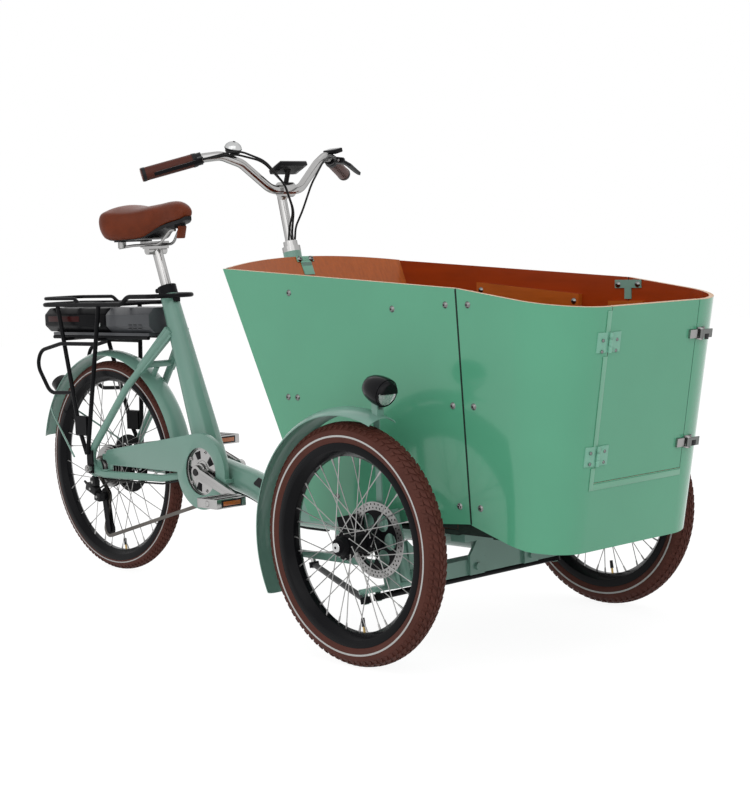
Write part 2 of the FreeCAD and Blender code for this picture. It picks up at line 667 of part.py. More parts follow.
def rear_axle_piece():
    """Fixed rear axle with a nut outside each dropout."""
    half = d.rear_axle_half
    nut_at = d.stay_y + d.stay_r + d.rack_foot_t + 2 * d.fit_gap
    bar = rod(Vector(0, -half, 0), Vector(0, half, 0), d.rear_axle_r)
    nuts = [rod(Vector(0, side * nut_at, 0), Vector(0, side * (nut_at + d.axle_nut_t), 0), d.axle_nut_r)
            for side in (-1, 1)]
    feature = solid_piece("rear_axle", joined([bar] + nuts))
    feature.Placement = Placement(rear_axle, Rotation())
    return keep(feature, "rear_axle")


rear_axle_piece()

# Steering knuckles, linkage and axle beam

def arm_spot(back, side):
    """Place of a ball stud beside a steering axis, in that axis's own frame."""
    return Vector(-back, -side, 0)


def arm(spot, low, high):
    """Flat arm from a steering axis to its ball stud, with round ends."""
    across = Vector(0, 0, 1).cross(spot).normalize() * d.arm_half
    up = Vector(0, 0, high - low)
    base = Vector(0, 0, low)
    bar = plate([base + across, base + spot + across, base + spot - across, base - across], up)
    return [bar, rod(base + spot, base + spot + up, d.arm_half)]


def stud(spot, low):
    """Ball stud hanging from the end of an arm."""
    top = spot + Vector(0, 0, low)
    return rod(top, top - Vector(0, 0, d.stud_drop), d.stud_r)


def knuckle(drag):
    """Knuckle: a fork on the kingpin tube, an upright with the stub axle, and its steering arms."""
    low = -d.kingpin_below - d.free_gap
    high = d.kingpin_above + d.free_gap
    half = d.knuckle_half
    reach = d.knuckle_reach
    foot = low - d.knuckle_t
    head = high + d.knuckle_t
    back = -reach - d.knuckle_t
    axle_end = -(d.track / 2 - d.kingpin_y) - d.front_hub_out + d.free_gap
    shoulder = -(d.track / 2 - d.kingpin_y) + d.front_hub_in + d.disc_t + d.free_gap
    pieces = [
        block(Vector(-half, back, foot), Vector(half, 0, low)),
        block(Vector(-half, back, high), Vector(half, 0, head)),
        block(Vector(-half, back, foot), Vector(half, -reach, head)),
        rod(Vector(0, 0, foot), Vector(0, 0, low), half),
        rod(Vector(0, 0, high), Vector(0, 0, head), half),
        rod(Vector(0, 0, foot), Vector(0, 0, head), d.kingpin_r),
        rod(Vector(0, -reach, 0), Vector(0, axle_end, 0), d.stub_r),
        rod(Vector(0, -reach, 0), Vector(0, shoulder, 0), d.front_boss_r - 3),
    ]
    spots = [arm_spot(d.arm_back, 0)]
    if drag:
        spots.append(arm_spot(d.drag_back, d.drag_side))
    for spot in spots:
        pieces += arm(spot, foot, low)
        pieces.append(stud(spot, foot))
    calliper = block(Vector(-d.disc_r - 12, shoulder - d.disc_t - 14, 18), Vector(-46, back - d.fit_gap, 62))
    slot = block(Vector(-d.disc_r - 2, shoulder - d.disc_t - 1 - d.free_gap, 10),
                 Vector(-40, shoulder + 1, 70))
    bridge = block(Vector(-60, back, 24), Vector(-half + 2, back + d.knuckle_t, 56))
    pieces.append(bridge)
    return group([joined(pieces), calliper.cut(slot)])


feature = solid_piece("knuckle_right", knuckle(True))
feature.Placement = kingpin_right
keep(feature, "knuckle_right")
feature = solid_piece("knuckle_left", knuckle(False).mirror(Vector(0, 0, 0), axis_y))
feature.Placement = Placement(on_axle(0, d.kingpin_y, axle_z), tilt)
keep(feature, "knuckle_left")

eye_low = -d.kingpin_below - d.free_gap - d.knuckle_t - d.stud_drop + 2
tie_start = kingpin_right.multVec(arm_spot(d.arm_back, 0) + Vector(0, 0, eye_low))
tie_end = flipped([tie_start])[0]
eye_up = tilt.multVec(Vector(0, 0, d.rod_eye_t))


def eye(spot, gap):
    """Rod end's eye round a ball stud."""
    return rod(spot, spot + eye_up, d.rod_eye_r), rod(spot - eye_up, spot + eye_up * 2, d.stud_r + gap)


def link(start, end):
    """Link between two ball studs: the second eye is the linkage's open one."""
    rise = eye_up * 0.5
    start_eye, start_hole = eye(start, d.run_gap)
    end_eye, end_hole = eye(end, d.open_eye_gap)
    bar = rod(start + rise, end + rise, d.rod_r)
    return joined([bar, start_eye, end_eye]).cut(start_hole).cut(end_hole)


keep(solid_piece("tie_rod", link(tie_start, tie_end)), "tie_rod")
lever_low = -d.column_len - d.knuckle_t
drag_start = column.multVec(arm_spot(d.drag_back, d.drag_side) + Vector(0, 0, lever_low - d.stud_drop + 2))
drag_end = kingpin_right.multVec(arm_spot(d.drag_back, d.drag_side) + Vector(0, 0, eye_low))
keep(solid_piece("drag_link", link(drag_start, drag_end)), "drag_link")


def axle_beam():
    """Cross beam under the box, with a raked kingpin tube on each end."""
    beam_top = d.beam_z + d.beam_high
    middle = d.beam_z + d.beam_high / 2
    beam_x = (axle_z - middle) * math.tan(rake)
    half = d.kingpin_y - d.kingpin_tube_r / 2
    beam = block(on_axle(beam_x - d.beam_deep / 2, -half, d.beam_z),
                 on_axle(beam_x + d.beam_deep / 2, half, beam_top))
    pieces = [beam]
    holes = []
    for side in (-1, 1):
        frame = Placement(on_axle(0, side * d.kingpin_y, axle_z), tilt)
        low = frame.multVec(Vector(0, 0, -d.kingpin_below))
        high = frame.multVec(Vector(0, 0, d.kingpin_above))
        inner = side * (-d.knuckle_half - 5)
        outer = side * 60
        sweep = block(Vector(-60, min(inner, outer), -d.kingpin_below - 60),
                      Vector(60, max(inner, outer), -d.kingpin_below))
        pieces[0] = pieces[0].cut(turn_about(sweep, frame))
        pieces.append(rod(low, high, d.kingpin_tube_r))
        holes.append(rod(low, high, d.kingpin_r + d.run_gap))
        gusset_low = on_axle(beam_x - 5, side * (half - 70), beam_top)
        gusset = plate([gusset_low, gusset_low + Vector(0, side * 62, 0),
                        gusset_low + Vector(-6, side * 62, 62)], Vector(10, 0, 0))
        pieces.append(gusset)
        face = beam_x + d.beam_deep / 2
        low_out, low_in = side * d.floor_stay_out, side * d.floor_stay_in
        lean = side * d.floor_stay_lean
        top = d.floor_z - d.fit_gap
        stay = [(low_out, d.beam_z), (low_in, d.beam_z), (low_in, beam_top), (low_in - lean, top),
                (low_out - lean, top), (low_out, beam_top + 8)]
        pieces.append(plate([on_axle(face, y, z) for y, z in stay], Vector(d.floor_stay_t, 0, 0)))
        bolt = on_axle(face + d.floor_stay_t, side * (d.floor_stay_out + d.floor_stay_in) / 2, middle)
        pieces.append(rod(bolt - Vector(1, 0, 0), bolt + Vector(6, 0, 0), 8))
    return joined(pieces).cut(group(holes))


keep(solid_piece("cross_beam", axle_beam()), "cross_beam")

# Frame

seat_foot = on_axle(d.seat_foot_x, 0, d.bottom_bracket_z)
seat_top = on_axle(d.seat_top_x, 0, d.seat_top_z)
seat_up = (seat_top - seat_foot).normalize()
bearer_spots = (-215.0, 110.0)
stay_head = Vector(0, 24, 0)


def stay_path(side):
    """Rear stay on one side: down from the seat tube, round the dropout and along to the crank."""
    near = side * d.stay_y
    foot = rear_axle.z
    head = seat_top - seat_up * 95
    return [head + stay_head * side, Vector(rear_axle.x + 150, side * 62, foot + 222),
            Vector(rear_axle.x - 2, near, foot + 52), Vector(rear_axle.x - 10, near, foot + 14),
            Vector(rear_axle.x + 14, near, foot - 10), Vector(rear_axle.x + 52, near, foot - 14),
            Vector(rear_axle.x + 268, side * 46, foot - 14),
            Vector(crank_axis.x - 92, side * 31, crank_axis.z - 16),
            Vector(crank_axis.x, side * 26, crank_axis.z - 4)]


def stay_bridge():
    """Left end of the bridge between the seat stays, just above the rear fender."""
    head, knee = stay_path(1)[:2]
    return head + (knee - head) * d.bridge_share


def main_tube_path():
    """Middle line of the main tube, from the crank axis to the axle beam."""
    beam_x = (axle_z - d.beam_z - d.beam_high / 2) * math.tan(rake)
    return [crank_axis, on_axle(d.main_tube_knee_x, 0, d.bottom_bracket_z - d.main_tube_knee_drop),
            on_axle(d.main_tube_flat_x, 0, d.main_tube_z),
            on_axle(beam_x + d.beam_deep / 2, 0, d.main_tube_z)]


def main_frame():
    """Welded frame: main tube, head tube, seat tube, stays, dropouts and floor bearers."""
    under = d.main_tube_z
    beam_x = (axle_z - d.beam_z - d.beam_high / 2) * math.tan(rake)
    spine = tube(main_tube_path(), d.main_tube_r, d.main_tube_bend)
    head_low = column.multVec(Vector(0, 0, -d.head_tube_len - d.head_cup_t))
    head_high = column.multVec(Vector(0, 0, -d.head_cup_t))
    shell = Vector(0, d.bracket_shell_half, 0)
    pieces = [
        spine, rod(head_low, head_high, d.head_tube_r),
        rod(crank_axis - shell, crank_axis + shell, d.bracket_shell_r),
        rod(seat_foot, seat_top, d.seat_foot_r, d.seat_tube_r),
    ]
    for side in (-1, 1):
        pieces.append(tube(stay_path(side), d.stay_r, 60.0))
        inner = side * d.dropout_y
        at = rear_axle + Vector(0, inner, 0)
        pieces.append(rod(at, at + Vector(0, side * d.dropout_t, 0), d.dropout_r))
        head, knee = stay_path(side)[:2]
        along = (knee - head).normalize()
        wide = along.cross(axis_y).normalize() * d.stay_head_half
        start = head + along * 6
        thick = Vector(0, side * d.stay_r, 0)
        end = head + along * 150
        flat = [start + wide, end + wide * 0.75, end - wide * 0.75, start - wide]
        pieces.append(plate([point - thick * 0.5 for point in flat], thick))
    pieces.append(rod(flipped([stay_bridge()])[0], stay_bridge(), d.bridge_r))
    pad_half = d.bearer_deep / 2
    pieces.append(block(on_axle(beam_x - pad_half, -55, d.beam_z + d.beam_high),
                        on_axle(beam_x + pad_half, 55, under)))
    for x in bearer_spots:
        pieces.append(block(on_axle(x - pad_half, -d.bearer_wide / 2, under + d.main_tube_r - 12),
                            on_axle(x + pad_half, d.bearer_wide / 2, d.floor_z)))
    holes = [
        rod(column.multVec(Vector(0, 0, -d.column_len)), head_high + Vector(0, 0, 1), d.head_bore_r),
        rod(crank_axis - shell * 2, crank_axis + shell * 2, d.spindle_r + d.run_gap),
        rod(seat_top + seat_up, seat_top - seat_up * d.post_bore_deep, d.post_r + d.run_gap),
        rod(rear_axle - Vector(0, 200, 0), rear_axle + Vector(0, 200, 0), d.rear_axle_r + d.run_gap),
    ]
    return joined(pieces).cut(group(holes))


keep(solid_piece("main_frame", main_frame()), "main_frame")


def headset():
    """Upper and lower headset cups that carry the steering column."""
    cups = []
    for top in (0.0, -d.head_tube_len - d.head_cup_t):
        high = column.multVec(Vector(0, 0, top))
        low = column.multVec(Vector(0, 0, top - d.head_cup_t))
        cups.append(ring(low, high, d.head_tube_r, d.column_r + d.run_gap))
    return group(cups)


keep(solid_piece("headset_cups", headset()), "headset_cups")


def seat_collar():
    """Clamp ring on the seat tube with its binder bolt behind."""
    top = seat_top + seat_up * d.collar_t
    band = ring(seat_top, top, d.collar_r, d.post_r + d.run_gap)
    behind = seat_top + seat_up * (d.collar_t / 2) - Vector(d.collar_r + 5, 0, 0)
    ear = rod(behind - Vector(0, 14, 0), behind + Vector(0, 14, 0), 6)
    lug = block(behind + Vector(0, -10, -6), behind + Vector(14, 10, 6))
    bore = rod(seat_top - seat_up, top + seat_up, d.post_r + d.run_gap)
    return joined([band, ear, lug]).cut(bore)


keep(solid_piece("seat_collar", seat_collar()), "seat_collar")

# Cargo box

side_slope = "sqrt(1 + ((box_half_top - box_half_low) / (box_rear_z - box_low_z)) ^ 2)"
front_slope = "sqrt(1 + ((box_front_x - box_front_low_x) / (box_front_z - box_front_low_z)) ^ 2)"
side_lean = math.atan2(d.box_half_top - d.box_half_low, d.box_rear_z - d.box_low_z)
front_lean = math.atan2(d.box_front_x - d.box_front_low_x, d.box_front_z - d.box_front_low_z)
side_frame = Placement(on_axle(0, -d.box_half_low, d.box_low_z),
                       Rotation(Vector(1, 0, 0), math.degrees(side_lean)))
front_frame = Placement(on_axle(d.box_front_low_x, 0, d.box_front_low_z),
                        Rotation(axis_y, math.degrees(front_lean)))


def side_up(z):
    """Distance up a side panel's slope that reaches a height."""
    return (z - d.box_low_z) / math.cos(side_lean)


def front_up(z):
    """Distance up the front face's slope that reaches a height."""
    return (z - d.box_front_low_z) / math.cos(front_lean)


def half_width(z):
    """Half width of the box outside at a height."""
    return d.box_half_low + (z - d.box_low_z) * math.tan(side_lean)


def front_at(z):
    """Front face of the box at a height, from the front axle."""
    return d.box_front_low_x + (z - d.box_front_low_z) * math.tan(front_lean)


def rear_at(z):
    """Rear corner of the box at a height, from the front axle."""
    run = (d.box_rear_low_x - d.box_rear_x) / (d.box_rear_z - d.box_low_z)
    return d.box_rear_x + (d.box_rear_z - z) * run


side_right = padded("box_side_right", "XZ_Plane", [
    ("box_rear_x", "(box_rear_z - box_low_z) * " + side_slope),
    ("box_rear_low_x", "0"),
    ("box_seam_x - seam_gap / 2", "(box_seam_low_z - box_low_z) * " + side_slope),
    ("box_seam_x - seam_gap / 2", "(box_seam_z - box_low_z) * " + side_slope),
], "wall", side_frame, backwards=True)
keep(side_right, "box_side_right")
mirrored(side_right, "box_side_left")


def shell_section(z, outer, inner):
    """Bow-front outline at a height, between two insets from the outside of the box."""
    seam = d.box_seam_x + d.seam_gap / 2
    flat = d.box_flat_half
    edges = []
    ends = []
    for inset in (outer, inner):
        half = half_width(z) - inset
        nose = front_at(z) - inset
        bend = half - flat
        turn = bend * math.sqrt(0.5)
        corner = nose - bend
        spots = [on_axle(seam, -half, z), on_axle(corner, -half, z),
                 on_axle(corner + turn, -flat - turn, z), on_axle(nose, -flat, z)]
        left = flipped(spots)
        edges += [Part.LineSegment(spots[0], spots[1]).toShape(), Part.Arc(*spots[1:4]).toShape(),
                  Part.LineSegment(spots[3], left[3]).toShape(),
                  Part.Arc(left[3], left[2], left[1]).toShape(),
                  Part.LineSegment(left[1], left[0]).toShape()]
        ends += [spots[0], left[0]]
    edges.append(Part.LineSegment(ends[0], ends[2]).toShape())
    edges.append(Part.LineSegment(ends[1], ends[3]).toShape())
    return Part.Wire(Part.__sortEdges__(edges))


def bow_shell(outer, inner):
    """Bow-front wall between two insets, trimmed to the sloping rim and foot."""
    low = d.box_front_low_z - d.wall
    high = d.box_seam_z + d.wall
    wall = Part.makeLoft([shell_section(low, outer, inner), shell_section(high, outer, inner)], True, True)
    seam = d.box_seam_x
    nose = d.box_front_x + 60
    wide = Vector(0, 2 * d.box_half_top + 100, 0)
    y = -d.box_half_top - 50
    fall = (d.box_seam_z - d.box_front_z) / (d.box_front_x - seam)
    above = plate([on_axle(seam - 5, y, d.box_seam_z + 5 * fall),
                   on_axle(nose, y, d.box_front_z - (nose - d.box_front_x) * fall),
                   on_axle(nose, y, high + 60), on_axle(seam - 5, y, high + 60)], wide)
    knee = d.box_front_low_x - 62
    below = plate([on_axle(seam - 5, y, d.box_seam_low_z), on_axle(knee, y, d.box_front_low_z + 11),
                   on_axle(d.box_front_low_x, y, d.box_front_low_z),
                   on_axle(nose, y, d.box_front_low_z), on_axle(nose, y, low - 60),
                   on_axle(seam - 5, y, low - 60)], wide)
    return wall.cut(above).cut(below)


def front_shell():
    """Bow-front shell with the doorway open to the rim."""
    half = d.door_half + d.door_gap
    doorway = block(Vector(-3 * d.wall, -half, front_up(d.door_low_z) - d.door_gap),
                    Vector(3 * d.wall, half, front_up(d.box_seam_z) + 60))
    return bow_shell(0.0, d.wall).cut(turn_about(doorway, front_frame))


keep(solid_piece("box_front_shell", front_shell()), "box_front_shell")


def rear_section(z):
    """Bowed outline of the rear panel at a height."""
    half = half_width(z) - d.wall / math.cos(side_lean) - d.fit_gap
    share = (z - d.box_low_z) / (d.box_rear_z - d.box_low_z)
    bow = d.rear_bow_low + (d.rear_bow - d.rear_bow_low) * share
    back = rear_at(z)
    arcs = []
    for inset in (0.0, d.wall):
        arcs.append((on_axle(back + inset, -half, z), on_axle(back + inset - bow, 0, z),
                     on_axle(back + inset, half, z)))
    outer, inner = arcs
    return Part.Wire([Part.Arc(*outer).toShape(), Part.LineSegment(outer[2], inner[2]).toShape(),
                      Part.Arc(inner[2], inner[1], inner[0]).toShape(),
                      Part.LineSegment(inner[0], outer[0]).toShape()])


def rear_panel():
    """Bowed rear panel between the sides, with an arched rim."""
    top = d.box_rear_z + d.rear_arch
    panel = Part.makeLoft([rear_section(d.box_low_z), rear_section(top + d.wall)], True, True)
    half = d.box_half_top
    x = d.box_rear_x - 150
    spots = [on_axle(x, -half, d.box_rear_z), on_axle(x, 0, top), on_axle(x, half, d.box_rear_z),
             on_axle(x, half, top + 90), on_axle(x, -half, top + 90)]
    rim = Part.Wire([Part.Arc(spots[0], spots[1], spots[2]).toShape(),
                     Part.LineSegment(spots[2], spots[3]).toShape(),
                     Part.LineSegment(spots[3], spots[4]).toShape(),
                     Part.LineSegment(spots[4], spots[0]).toShape()])
    return panel.cut(Part.Face(rim).extrude(Vector(300, 0, 0)))


rear_wall = rear_panel()
keep(solid_piece("box_rear_panel", rear_wall), "box_rear_panel")


def both_sides(shapes):
    """Shapes of a side panel's own frame, on the right side and mirrored on the left."""
    right = [turn_about(shape, side_frame) for shape in shapes]
    return right + [shape.mirror(Vector(0, 0, 0), axis_y) for shape in right]


def seam_batten(spare):
    """Upright batten behind a side seam, with spare room on its three free sides."""
    inside = d.wall + d.fit_gap
    return block(Vector(d.box_seam_x - d.batten_half - spare, inside - spare, side_up(d.floor_z) + 4),
                 Vector(d.box_seam_x + d.batten_half + spare, inside + d.batten_t + spare,
                        side_up(d.box_seam_z) - 52))


def box_floor():
    """Floor between the walls, on the frame's bearers, notched round the seam battens."""
    z = d.floor_z
    half = half_width(z) - d.wall / math.cos(side_lean) - d.fit_gap
    nose = front_at(z) - d.wall - d.fit_gap
    bend = half - d.box_flat_half
    turn = bend * math.sqrt(0.5)
    back = rear_at(z) + d.wall + d.fit_gap
    right = [on_axle(back, -half, z), on_axle(nose - bend, -half, z),
             on_axle(nose - bend + turn, -d.box_flat_half - turn, z), on_axle(nose, -d.box_flat_half, z)]
    left = flipped(right)
    middle = on_axle(back - d.rear_bow_low, 0, z)
    outline = Part.Wire([
        Part.LineSegment(right[0], right[1]).toShape(), Part.Arc(*right[1:4]).toShape(),
        Part.LineSegment(right[3], left[3]).toShape(), Part.Arc(left[3], left[2], left[1]).toShape(),
        Part.LineSegment(left[1], left[0]).toShape(), Part.Arc(left[0], middle, right[0]).toShape()])
    board = Part.Face(outline).extrude(Vector(0, 0, d.floor_t))
    room = seam_batten(d.fit_gap)
    for notch in both_sides([room.fuse(room.translated(Vector(0, 0, -20)))]):
        board = board.cut(notch)
    return board


keep(solid_piece("box_floor", box_floor()), "box_floor")

# Dome bolts of a side: distance from the front axle and height
side_bolts = [(-312, 763), (10, 727), (164, 735), (226, 735), (-341, 532), (-310, 532),
              (166, 531), (224, 531), (166, 325), (224, 325), (-203, 319)]


def box_bolts():
    """Dome bolt heads on both sides of the box."""
    heads = []
    for x, z in side_bolts:
        foot = Vector(x, -d.fit_gap / 2, side_up(z))
        heads.append(rod(foot, foot - Vector(0, d.bolt_t, 0), d.bolt_r, d.bolt_r * 0.55))
    return group(both_sides(heads))


keep(solid_piece("box_bolts", box_bolts()), "box_bolts")


def box_battens():
    """Wooden battens behind the side seams and a rail board along each side."""
    inside = d.wall + d.fit_gap
    back = Vector(d.side_rail_back_x, inside, side_up(d.side_rail_back_z))
    front = Vector(d.side_rail_front_x, inside, side_up(d.side_rail_front_z))
    down = Vector(0, 0, -d.side_rail_high)
    rail = plate([back, front, front + down, back + down], Vector(0, d.batten_t, 0))
    return group(both_sides([seam_batten(0), rail]))


keep(solid_piece("box_battens", box_battens()), "box_battens")


def box_brackets():
    """Splice plates inside the rim at the seams, and the bracket from the rear panel to the head tube."""
    inside = d.wall + d.fit_gap
    top = side_up(d.box_seam_z) - 6
    splice = block(Vector(d.box_seam_x - 36, inside, top - 18), Vector(d.box_seam_x + 36, inside + 3, top))
    stem = block(Vector(d.box_seam_x - 9, inside, top - 42), Vector(d.box_seam_x + 9, inside + 3, top - 17))
    z = d.box_rear_z - 10
    tie = block(on_axle(rear_at(z) - d.rear_bow - 40, -14, z - 16),
                on_axle(rear_at(z) - d.rear_bow + d.wall, 14, z + 16))
    head_tube = rod(column.multVec(Vector(0, 0, -120)), column.multVec(Vector(0, 0, 20)),
                    d.head_tube_r + d.fit_gap)
    kept = max(tie.cut(rear_wall).cut(head_tube).Solids, key=lambda part: part.CenterOfMass.x)
    return group(both_sides([joined([splice, stem])]) + [kept])


keep(solid_piece("box_brackets", box_brackets()), "box_brackets")

# Door, hinges and latches

door = padded("door_panel", "YZ_Plane", [
    ("-door_half", "(door_low_z - box_front_low_z) * " + front_slope),
    ("door_half", "(door_low_z - box_front_low_z) * " + front_slope),
    ("door_half", "(box_front_z - box_front_low_z) * " + front_slope),
    ("-door_half", "(box_front_z - box_front_low_z) * " + front_slope),
], "wall", front_frame, backwards=True)
keep(door, "door_panel")

hinge_y = -d.door_half - d.door_gap / 2
hinge_out = d.hinge_barrel_r + 0.3
latch_y = d.door_half + d.door_gap + 7
fitting_heights = [front_up(d.hinge_upper_z), front_up(d.hinge_lower_z)]
skin = turn_about(bow_shell(-d.hinge_t - 0.1, -0.1), front_frame.inverse())


def barrel(low, high, radius):
    """Length of a hinge barrel."""
    return rod(Vector(hinge_out, hinge_y, low), Vector(hinge_out, hinge_y, high), radius)


def hinge(middle):
    """One butt hinge: the fixed leaf with its pin, and the leaf that swings with the door."""
    high = middle + d.hinge_high / 2
    low = middle - d.hinge_high / 2
    third = d.hinge_high / 3
    swing_low = low + third
    swing_high = high - third
    space = d.hinge_barrel_r + d.free_gap
    leaf = skin.common(block(Vector(-60, hinge_y - d.hinge_wide, low), Vector(30, hinge_y, high)))
    leaf = leaf.cut(barrel(swing_low - 0.4, swing_high + 0.4, space))
    fixed = joined([leaf, barrel(low, swing_low - 0.4, d.hinge_barrel_r),
                    barrel(swing_high + 0.4, high, d.hinge_barrel_r), barrel(low, high, d.hinge_pin_r)])
    swing = block(Vector(0.3, hinge_y, low), Vector(0.3 + d.hinge_t, hinge_y + d.hinge_wide, high))
    swing = swing.cut(barrel(low - 1, swing_low, space)).cut(barrel(swing_high, high + 1, space))
    swing = joined([swing, barrel(swing_low, swing_high, d.hinge_barrel_r)])
    return fixed, swing.cut(barrel(low, high, d.hinge_pin_r + d.run_gap))


def latch(middle):
    """One latch: the base on the shell, the lever on its pin, and the keeper on the door."""
    half = d.latch_high / 2
    cheek = half + d.free_gap
    post = d.latch_post
    base = skin.common(block(Vector(-60, latch_y - 6, middle - cheek - 3),
                             Vector(30, latch_y + d.latch_wide * 0.6, middle + cheek + 3)))
    pieces = [base]
    for side in (-1, 1):
        inner = middle + side * cheek
        outer = middle + side * (cheek + 2.5)
        pieces.append(block(Vector(0.5, latch_y - 5, min(inner, outer)),
                            Vector(post + 3.5, latch_y + 5, max(inner, outer))))
    axis = [Vector(post, latch_y, middle - cheek - 2), Vector(post, latch_y, middle + cheek + 2)]
    pieces.append(rod(axis[0], axis[1], 1.8))
    blade = block(Vector(post - d.latch_t / 2, latch_y, middle - half),
                  Vector(post + d.latch_t / 2, latch_y + d.latch_wide, middle + half))
    eye_bar = rod(Vector(post, latch_y, middle - half), Vector(post, latch_y, middle + half), 3.6)
    lever = joined([blade, eye_bar]).cut(rod(axis[0], axis[1], 1.8 + d.run_gap))
    keeper = block(Vector(0.2, d.door_half - 24, middle - half), Vector(5.2, d.door_half - 1, middle + half))
    return joined(pieces), lever, keeper


hinges = [hinge(middle) for middle in fitting_heights]
latches = [latch(middle) for middle in fitting_heights]


def on_front(label, shapes):
    """Piece made in the front face's own frame."""
    feature = solid_piece(label, group(shapes) if len(shapes) > 1 else shapes[0])
    feature.Placement = front_frame.multiply(feature.Placement)
    return keep(feature, label)


on_front("door_hinges", [pair[0] for pair in hinges] + [trio[0] for trio in latches])
on_front("door_fittings", [pair[1] for pair in hinges] + [trio[2] for trio in latches])
on_front("latch_upper", [latches[0][1]])
on_front("latch_lower", [latches[1][1]])

# Drive

crank_frame = Placement(crank_axis, Rotation(axis_y, -d.crank_deg))
crank_back = Placement(crank_axis, Rotation(axis_y, 180 - d.crank_deg))


def crank_arm(side):
    """Tapered crank arm along its own X axis with the pedal's spindle at its end, on one side."""
    inner = side * d.crank_y
    outer = side * (d.crank_y + d.crank_t)
    end = Vector(d.crank_len, 0, 0)
    low = Vector(0, inner, 0)
    high = Vector(0, outer, 0)
    taper = plate([low + Vector(0, 0, d.crank_boss_r * 0.8), low + end + Vector(0, 0, d.crank_eye_r * 0.85),
                   low + end - Vector(0, 0, d.crank_eye_r * 0.85),
                   low - Vector(0, 0, d.crank_boss_r * 0.8)], high - low)
    reach = Vector(0, side * (d.pedal_long + 2 * d.free_gap), 0)
    return [taper, rod(low, high, d.crank_boss_r), rod(low + end, high + end, d.crank_eye_r),
            rod(high + end, high + end + reach, d.pedal_axle_r)]


def crank_right():
    """Right crank with the spindle and the chainring's spider."""
    spindle = rod(Vector(0, -d.crank_y, 0), Vector(0, d.crank_y - d.fit_gap, 0), d.spindle_r)
    face = -d.chain_y - d.ring_t / 2 - d.fit_gap
    spider = rod(Vector(0, face, 0), Vector(0, face - 4, 0), d.ring_inner_r + 6)
    boss = rod(Vector(0, face, 0), Vector(0, -d.crank_y, 0), d.crank_boss_r + 4)
    return joined(crank_arm(-1) + [spindle, spider, boss])


feature = solid_piece("crank_right", crank_right())
feature.Placement = crank_frame
keep(feature, "crank_right")
feature = solid_piece("crank_left", joined(crank_arm(1)))
feature.Placement = crank_back
keep(feature, "crank_left")

keep(turned("chainring", [
    ("ring_inner_r", "-chain_y - ring_t / 2"), ("ring_r", "-chain_y - ring_t / 2"),
    ("ring_r", "-chain_y + ring_t / 2"), ("ring_inner_r", "-chain_y + ring_t / 2"),
], Placement(crank_axis, Rotation())), "chainring")


def pedal(side):
    """Open pedal cage round its spindle, lying level."""
    near = side * (d.crank_y + d.crank_t + d.free_gap)
    far = near + side * d.pedal_long
    half = d.pedal_deep / 2
    high = d.pedal_high / 2
    low_y = min(near, far)
    high_y = max(near, far)
    body = block(Vector(-half, low_y, -high), Vector(half, high_y, high))
    barrel_half = d.pedal_axle_r + d.pedal_wall
    for end in (-1, 1):
        inner = end * barrel_half
        outer = end * (half - d.pedal_wall)
        body = body.cut(block(Vector(min(inner, outer), low_y + d.pedal_wall, -high - 1),
                              Vector(max(inner, outer), high_y - d.pedal_wall, high + 1)))
    axle = rod(Vector(0, near, 0), Vector(0, far, 0), d.pedal_axle_r + d.run_gap)
    return body.cut(axle)


for label, side, frame in (("pedal_right", -1, crank_frame), ("pedal_left", 1, crank_back)):
    feature = solid_piece(label, pedal(side))
    feature.Placement = Placement(frame.multVec(Vector(d.crank_len, 0, 0)), Rotation())
    keep(feature, label)


def belt(circles, y):
    """Closed path round circles (centre x, centre z, radius, turn), by tangent lines and arcs."""
    runs = []
    for here, following in zip(circles, circles[1:] + circles[:1]):
        over = Vector(following[0] - here[0], 0, following[1] - here[1])
        change = following[2] * following[3] - here[2] * here[3]
        heading = math.atan2(over.z, over.x) - math.asin(change / over.Length)
        left = (-math.sin(heading), math.cos(heading))
        ends = []
        for circle in (here, following):
            shift = circle[2] * circle[3]
            ends.append(Vector(circle[0] - shift * left[0], y, circle[1] - shift * left[1]))
        runs.append(ends)
    edges = []
    for index, circle in enumerate(circles):
        arrive = runs[index - 1][1]
        leave = runs[index][0]
        start = math.atan2(arrive.z - circle[1], arrive.x - circle[0])
        end = math.atan2(leave.z - circle[1], leave.x - circle[0])
        sweep = (end - start) * circle[3] % (2 * math.pi)
        middle = start + circle[3] * sweep / 2
        bulge = Vector(circle[0] + circle[2] * math.cos(middle), y, circle[1] + circle[2] * math.sin(middle))
        edges.append(Part.Arc(arrive, bulge, leave).toShape())
        edges.append(Part.LineSegment(*runs[index]).toShape())
    return Part.Wire(edges), runs


drive_r = d.sprocket_large_r - d.drive_sprocket * (
    d.sprocket_large_r - d.sprocket_small_r) / (d.sprocket_count - 1)
jockey_upper = rear_axle + Vector(12, 0, -78)
jockey_lower = rear_axle + Vector(24, 0, -168)
seat_depth = 3.0
chain_circles = [
    (crank_axis.x, crank_axis.z, d.ring_r - seat_depth, 1),
    (rear_axle.x, rear_axle.z, drive_r - seat_depth, 1),
    (jockey_upper.x, jockey_upper.z, d.jockey_r - seat_depth, -1),
    (jockey_lower.x, jockey_lower.z, d.jockey_r - seat_depth, 1),
]


